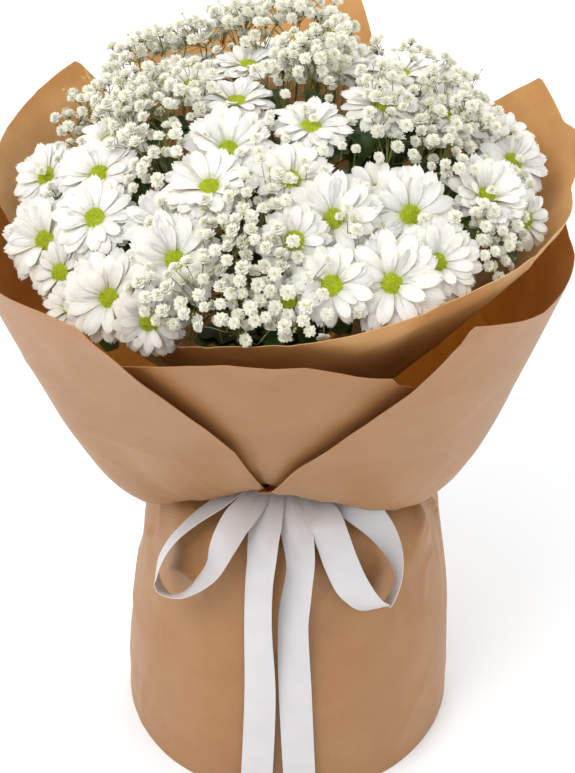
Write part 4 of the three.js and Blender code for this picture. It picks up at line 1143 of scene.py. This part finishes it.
set_out = set_out_tree()


def set_out_on(spots, shapes, seed):
    """One mesh of shapes at spots of place, facing, upward and size, all in metres."""
    mesh = bpy.data.meshes.new("spots")
    mesh.from_pydata([tuple(s[0]) for s in spots], [], [])
    for k, name in ((1, "facing"), (2, "upward")):
        mesh.attributes.new(name, "FLOAT_VECTOR", "POINT").data.foreach_set(
            "vector", np.array([tuple(s[k]) for s in spots], float).ravel())
    mesh.attributes.new("size", "FLOAT", "POINT").data.foreach_set("value", [s[3] for s in spots])
    return grow(bpy.data.objects.new("spots", mesh), set_out, Shapes=shapes, Seed=seed)


# %% [markdown]
# ### The sprays
#
# Each spray is a stem, a twig to every bloom it carries, the green calyx that holds the petals, and leaves.
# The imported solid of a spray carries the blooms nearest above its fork, and the same rule is used here.

# %% The sprays
UP = Vector((0, 0, 1))
TIE = 0.2675
SPRAYS = {
    "daisy_spray_middle": (0, 0, 450), "daisy_spray_front": (4, -66, 425),
    "daisy_spray_right": (66, -12, 425), "daisy_spray_back_right": (46, 56, 425),
    "daisy_spray_back_left": (-44, 56, 425), "daisy_spray_left": (-66, -34, 425),
}  # the fork of each stem


def spiral_line(fork, ring, lean, foot):
    """A stem from its cut end, leaning some degrees along a ring at the tie, and on to its fork. Metres."""
    fork = Vector(fork)
    twist = math.degrees(math.atan2(90 * math.tan(math.radians(lean)), ring))
    turn = math.degrees(math.atan2(fork.x, -fork.y)) - twist
    tie = Vector(around(turn, ring, 0).tolist()) * MM + Vector((0, 0, TIE))
    along = Vector(around(turn + 90, math.tan(math.radians(lean)), 1).tolist())
    at = lambda height: tie + along * (height - TIE)
    stops = [at(foot * MM * math.sin(math.radians(lean))), at(0.13), at(TIE), at(0.33), fork]
    return [Vector(p) for p in through([s[:] for s in stops], 22)[0]]


def spray_of(place):
    def reach(name):
        spread = 1 if name == "daisy_spray_middle" else 1.9
        return math.hypot(place.x / MM - SPRAYS[name][0] * spread, place.y / MM - SPRAYS[name][1] * spread)
    return min(SPRAYS, key=reach)


def calyx(place, up, radius):
    """The green cup under a bloom, from its twig to the petals' feet, scalloped by its bracts. Metres."""
    sides = 16
    radius /= MM
    profile = [(-9, 1.5), (-6, 2.4), (-3.6, 0.62 * radius), (-1.9, 0.95 * radius), (-0.9, radius),
               (-0.6, 0.5 * radius)]
    points, faces = [], []
    for k, (height, reach) in enumerate(profile):
        for s in range(sides):
            a = 2 * math.pi * s / sides
            r = reach * (1 - (0.08 if s % 2 and 1 < k < 5 else 0))
            points.append((r * math.cos(a), r * math.sin(a), height))
    for k in range(len(profile) - 1):
        for s in range(sides):
            n = (s + 1) % sides
            faces.append((k * sides + s, k * sides + n, (k + 1) * sides + n, (k + 1) * sides + s))
    faces.append(tuple(range(sides))[::-1])
    faces.append(tuple(range((len(profile) - 1) * sides, len(profile) * sides)))
    return mesh_object("calyx", points, faces, [calyx_green]).data, upright(place, up)


def leaves_along(line, chance, count, low, high, length):
    """Spots for leaves that grow from a twig, outwards and a little up."""
    spots = []
    for _ in range(count):
        k = chance.uniform(low, high) * (len(line) - 1)
        start = line[int(k)]
        ahead = (line[min(int(k) + 1, len(line) - 1)] - start).normalized()
        side = Vector((chance.uniform(-1, 1), chance.uniform(-1, 1), 0))
        side = (side - ahead * side.dot(ahead)).normalized()
        facing = (ahead * 0.6 + side * 0.8).normalized()
        upward = (UP + side * 0.2).normalized()
        spots.append((start, facing, upward, length * chance.uniform(0.8, 1.15)))
    return spots


def bloom_twig(stem, k, place, up):
    """The twig of a stem's k-th bloom: each starts a little lower, and bends up under its bloom."""
    start = stem[-1].lerp(stem[-3], min(1, 0.07 * k))
    bend = place - up * (26 * MM)
    middle = start.lerp(bend, 0.55) - UP * (4 * MM)
    return [Vector(p) for p in through([start[:], middle[:], bend[:], (place - up * (7 * MM))[:]], 14)[0]]


def spray(name, number):
    chance = random.Random(50 + number)
    if name == "daisy_spray_middle":
        stem = [UP * (SPRAYS[name][2] * MM * k / 12) for k in range(13)]
    else:
        stem = spiral_line(Vector(SPRAYS[name]) * MM, ring=6.7 * MM, lean=9, foot=3)
    lines = [(stem, 3.0 * MM, 2.4 * MM)]
    parts, spots = [], []
    grown = [b for b in BLOOMS.values() if spray_of(b[0]) == name]
    for k, (place, up, radius) in enumerate(grown):
        twig = bloom_twig(stem, k, place, up)
        lines.append((twig, 1.6 * MM, 1.4 * MM))
        parts.append(calyx(place, up, min(6.6 * MM, 0.3 * radius + 0.4 * MM) + 0.6 * MM))
        spots += leaves_along(twig, chance, count=7, low=0.36, high=0.76, length=0.033)
    spots += leaves_along(stem, chance, count=6, low=0.78, high=0.97, length=0.045)
    parts.append((thickened(lines, 8, calyx_green), Matrix.Identity(4)))
    parts.append((set_out_on(spots, leaves, number), Matrix.Identity(4)))
    return joined_mesh(name + "_greens", parts)


for number, name in enumerate(SPRAYS):
    finish_piece(held_inside(spray(name, number)), [name])

# %% [markdown]
# ## Gypsophila
#
# Gypsophila is mostly air: hair-thin twigs that fork and fork again, each tip with a tiny double flower of
# ruffled petals, about 9 mm across, and a few green buds. A floret is repeated hundreds of times, so it is
# four ruffled discs of a few faces each. Florets stand in clusters between the blooms and a little above.

# %% The floret and the bud
FLORET = 4.7
TOOTH_REACH = (1, 0.9, 1.04, 0.7)
TOOTH_RISE = (0.7, -0.3, 0.4, -0.6)
RUFFLES = ((1, 0, 0.2, 0), (0.86, 0.6, 1.1, 0.6), (0.62, 1.2, 1.9, 0.2),
           (0.36, 1.8, 2.2, 0.9))  # share of the radius, foot, rise and turn of each disc


def ruffle(points, faces, radius, foot, rise, phase):
    """Adds one closed ruffled disc to a floret, with five notched petals to its rim."""
    first = len(points)
    count = 5 * len(TOOTH_REACH)
    points += [(0, 0, foot + 0.2), (0, 0, foot - 0.35)]
    for k in range(count):
        a = 2 * math.pi * k / count + phase
        r = radius * TOOTH_REACH[k % 4] * (1 + 0.07 * math.sin(5 * k + 9 * phase))
        points.append((r * math.cos(a), r * math.sin(a), foot + rise + TOOTH_RISE[k % 4]))
    for k in range(count):
        a, b = first + 2 + k, first + 2 + (k + 1) % count
        faces += [(first, a, b), (first + 1, b, a)]


def floret(name, openness):
    points, faces = [], []
    for share, foot, rise, phase in RUFFLES:
        ruffle(points, faces, FLORET * share, foot, rise + openness * share, phase)
    petals_end = len(faces)
    for foot, radius, low, high in ((-0.6, 1.5, -3.2, 0.5), (3.4, 0.7, 2.6, 4.4)):
        first = len(points)
        for k in range(4):
            a, n = math.pi * k / 2, (k + 1) % 4
            points.append((radius * math.cos(a), radius * math.sin(a), foot))
            faces += [(first + k, first + n, first + 4), (first + n, first + k, first + 5)]
        points += [(0, 0, high), (0, 0, low)]
    which = [0] * petals_end + [1] * 8 + [2] * 8
    return mesh_object(name, points, faces, [floret_white, filler_green, floret_heart], which)


florets = kept_aside("florets", [floret("floret_open", 0.0), floret("floret_half_open", 1.2)])
buds = kept_aside("buds", [bead("bud", 1.5, floret_heart)])

# %% The clusters
BUDDING = 8.5  # the height above the dome of the clusters with most buds
CLUSTERS = {
    "gypsophila_front": ((-35, -40, 440), [
        (-12, -134, 24, 18, 0), (-36, -150, 24, 18, 0), (-19, -106, 22, 13, 0), (48, -122, 14, 4, 0),
        (-32, -164, 26, 20, 0), (-66, -160, 20, 14, 0), (8, -162, 22, 14, 0), (-92, -148, 14, 6, 0),
        (-38, -122, 18, 7, 1)]),
    "gypsophila_right": ((62, 3, 450), [
        (96, -22, 24, 18, 2), (118, 34, 22, 14, 2), (140, -82, 16, 12, 0), (124, -100, 20, 18, 0),
        (70, -40, 18, 9, 3), (108, -52, 18, 9, 2), (64, -8, 20, 11, 5),
        (132, 6, 20, 14, 3), (85, 30, 20, 10, 4), (122, 82, 24, 14, 5)]),
    "gypsophila_left": ((-62, -12, 440), [
        (-96, -22, 24, 22, 2), (-98, 32, 24, 24, 4), (-80, -60, 20, 14, 2), (-66, 2, 20, 14, 3),
        (-112, 14, 20, 14, 4), (-150, 44, 18, 10, 3), (-138, 78, 20, 12, 6)]),
    "gypsophila_back": ((2, 62, 440), [
        (-62, 112, 26, 26, 14), (8, 112, 28, 34, 24), (36, 128, 20, 14, 8), (80, 88, 20, 12, 4),
        (-24, 92, 22, 16, 10), (-112, 100, 22, 22, 20), (-86, 112, 22, 18, 16), (-4, 18, 20, 8, 4),
        (22, 44, 26, 34, BUDDING), (14, 26, 20, 20, BUDDING), (-34, 112, 22, 20, 20), (34, 92, 20, 14, 14),
        (100, 98, 20, 10, 6)]),
}  # fork, then for each cluster: x, y, spread, florets at most, height above the dome of the heads
PAPER_REACH = 182
CLOUD_TOP = 575
BLOOM_CUP = 0.16  # how much a bloom's petals rise for each millimetre outwards
SUB_TWIGS = 7
TRIES = 9  # for each floret of a cluster
SINGLE_TRIES = 650
SINGLE_REACH = 172


def dome_height(x, y):
    return 556 - 78 * (math.hypot(x, y) / 186) ** 2.3


def clear_of_blooms(point, ball):
    """True where a ball about the point, in metres, stays clear of every bloom's petals."""
    for place, up, radius in BLOOMS.values():
        away = point - place
        height = away.dot(up)
        reach = math.sqrt(max(0.0, away.length_squared - height * height))
        if reach < radius + ball and -ball - 1 * MM < height - BLOOM_CUP * reach < ball + 4 * MM:
            return False
    return True


def scattered(chance, x, y, spread):
    """A place on a disc, with the places evenly thick over it."""
    angle, out = chance.uniform(0, ABOUT_A_TURN), spread * math.sqrt(chance.random())
    return Vector((x + out * math.cos(angle), y + out * math.sin(angle), 0))


def jitter(chance, amount):
    return Vector([chance.uniform(-amount, amount) for _ in range(3)])


def apart_from(spots, point, share):
    return all((other[0] - point).length > share * FLORET * MM for other in spots)


def add_floret(lines, spots, foot, point, along, facing, thickness, size):
    """A floret at a point, on its own twig from a foot."""
    bend = foot.lerp(point, 0.6) + along
    lines.append(([foot, bend, point - facing * (2 * MM)], thickness, 0.26 * MM))
    spots.append((point, facing, (point - foot).normalized(), size))


def cluster(lines, spots, bud_spots, fork, x, y, spread, most, above, chance):
    joint = Vector((0.93 * x, 0.93 * y, dome_height(x, y) + above - 28)) * MM
    lines.append(([fork, fork.lerp(joint, 0.5) - UP * 3 * MM, joint], 0.9 * MM, 0.7 * MM))
    subs = []
    for _ in range(SUB_TWIGS):
        top = scattered(chance, x, y, 0.75 * spread)
        top.z = dome_height(top.x, top.y) + above - 10 + 6 * chance.random()
        subs.append(top * MM)
        lines.append(([joint, joint.lerp(subs[-1], 0.5) + UP * 2 * MM, subs[-1]], 0.5 * MM, 0.4 * MM))
    placed = 0
    for _ in range(TRIES * most):
        point = scattered(chance, x, y, spread)
        point.z = min(CLOUD_TOP, dome_height(point.x, point.y) + above - 1 + 17 * chance.random())
        point *= MM
        near = min(subs, key=lambda sub: (sub - point).length)
        clear = apart_from(spots, point, 1.6) and point.xy.length < PAPER_REACH * MM
        if placed >= most or not (clear and clear_of_blooms(point, 0.75 * FLORET * MM)):
            continue
        up = (point - near).normalized()
        facing = (up + Vector((0, -0.35, 0.5)) + jitter(chance, 0.3)).normalized()
        add_floret(lines, spots, near, point, UP * MM, facing, 0.3 * MM, chance.uniform(0.84, 1.18))
        placed += 1
        if placed % 2 == 0 or above == BUDDING:
            tip = near + (point - near) * chance.uniform(0.7, 1.2) + jitter(chance, 6 * MM)
            lines.append(([near.lerp(point, 0.3), tip], 0.25 * MM, 0.22 * MM))
            bud_spots.append((tip, up, facing, chance.uniform(0.9 * MM, 1.4 * MM)))


def fill_gaps(lines, spots, name, chance):
    """Single florets on short twigs, in the gaps between the blooms that are nearest to this stem."""
    def from_fork(key):
        fork = CLUSTERS[key][0]
        return math.hypot(point.x - 2 * fork[0], point.y - 2 * fork[1])

    for _ in range(SINGLE_TRIES):
        point = scattered(chance, 0, 0, SINGLE_REACH)
        nearest = min(CLUSTERS, key=from_fork)
        point.z = dome_height(point.x, point.y) + chance.uniform(-9, 5)
        foot = Vector((0.95 * point.x, 0.95 * point.y, point.z - 22)) * MM
        point *= MM
        clear = nearest == name and apart_from(spots, point, 1.7)
        if not (clear and clear_of_blooms(point, 0.5 * FLORET * MM)):
            continue
        up = (point - foot).normalized()
        facing = (up + Vector((0, -0.35, 0.3)) + jitter(chance, 0.35)).normalized()
        add_floret(lines, spots, foot, point, UP * 0, facing, 0.34 * MM, chance.uniform(0.7, 1.0))


def upright_spots(spots):
    """Florets are modelled facing +Z, so their Z goes along the facing direction."""
    turned = []
    for place, facing, upward, size in spots:
        side = facing.cross(Vector((0.31, 0.2, 0.93))).normalized()
        turned.append((place, side, facing, size))
    return turned


def gypsophila(name, number):
    chance = random.Random(900 + number)
    fork_place, clusters = CLUSTERS[name]
    fork = Vector(fork_place) * MM
    lines = [(spiral_line(fork, ring=11.9 * MM, lean=15, foot=2), 2 * MM, 1.2 * MM)]
    spots, bud_spots = [], []
    for x, y, spread, most, above in clusters:
        cluster(lines, spots, bud_spots, fork, x, y, spread, most, above, chance)
    fill_gaps(lines, spots, name, chance)
    print(name, len(spots), "florets")
    parts = [(thickened(lines, 5, filler_green), Matrix.Identity(4)),
             (set_out_on(upright_spots(spots), florets, number), Matrix.Identity(4)),
             (set_out_on(upright_spots(bud_spots), buds, number), Matrix.Identity(4))]
    return joined_mesh(name + "_cloud", parts)


for number, name in enumerate(CLUSTERS):
    finish_piece(held_inside(gypsophila(name, number)), [name])

# %% [markdown]
# ## The floor
#
# A white sweep under the bunch. It is a stage, and isn't part of the object.

# %% The floor
FLOOR_REACH = 4000
FLECKS_PER_METRE = 900


def paper_sweep():
    material, tree, shader = new_material("white_paper_sweep", {"Base Color": linear("#F6F9FB"),
                                                                "Roughness": 0.9})
    place = add_node(tree, "ShaderNodeTexCoord").outputs["Object"]
    fleck = add_node(tree, "ShaderNodeTexNoise", {"Vector": place, "Scale": FLECKS_PER_METRE})
    bump = add_node(tree, "ShaderNodeBump", {"Height": fleck.outputs["Fac"], "Strength": 0.05,
                                             "Distance": 0.1 * MM})
    tree.links.new(bump.outputs["Normal"], shader.inputs["Normal"])
    return material


corners = [(-FLOOR_REACH, -FLOOR_REACH, 0), (FLOOR_REACH, -FLOOR_REACH, 0), (FLOOR_REACH, FLOOR_REACH, 0),
           (-FLOOR_REACH, FLOOR_REACH, 0)]
floor = mesh_object("floor", corners, [(0, 1, 2, 3)], [paper_sweep()], smooth=False)
bpy.context.scene.collection.objects.link(floor)

# %% Putting the shapes that were copied away
for collection in (petals, heart_beads, leaves, florets, buds):
    for shape in list(collection.objects):
        bpy.data.objects.remove(shape)
    bpy.data.collections.remove(collection)
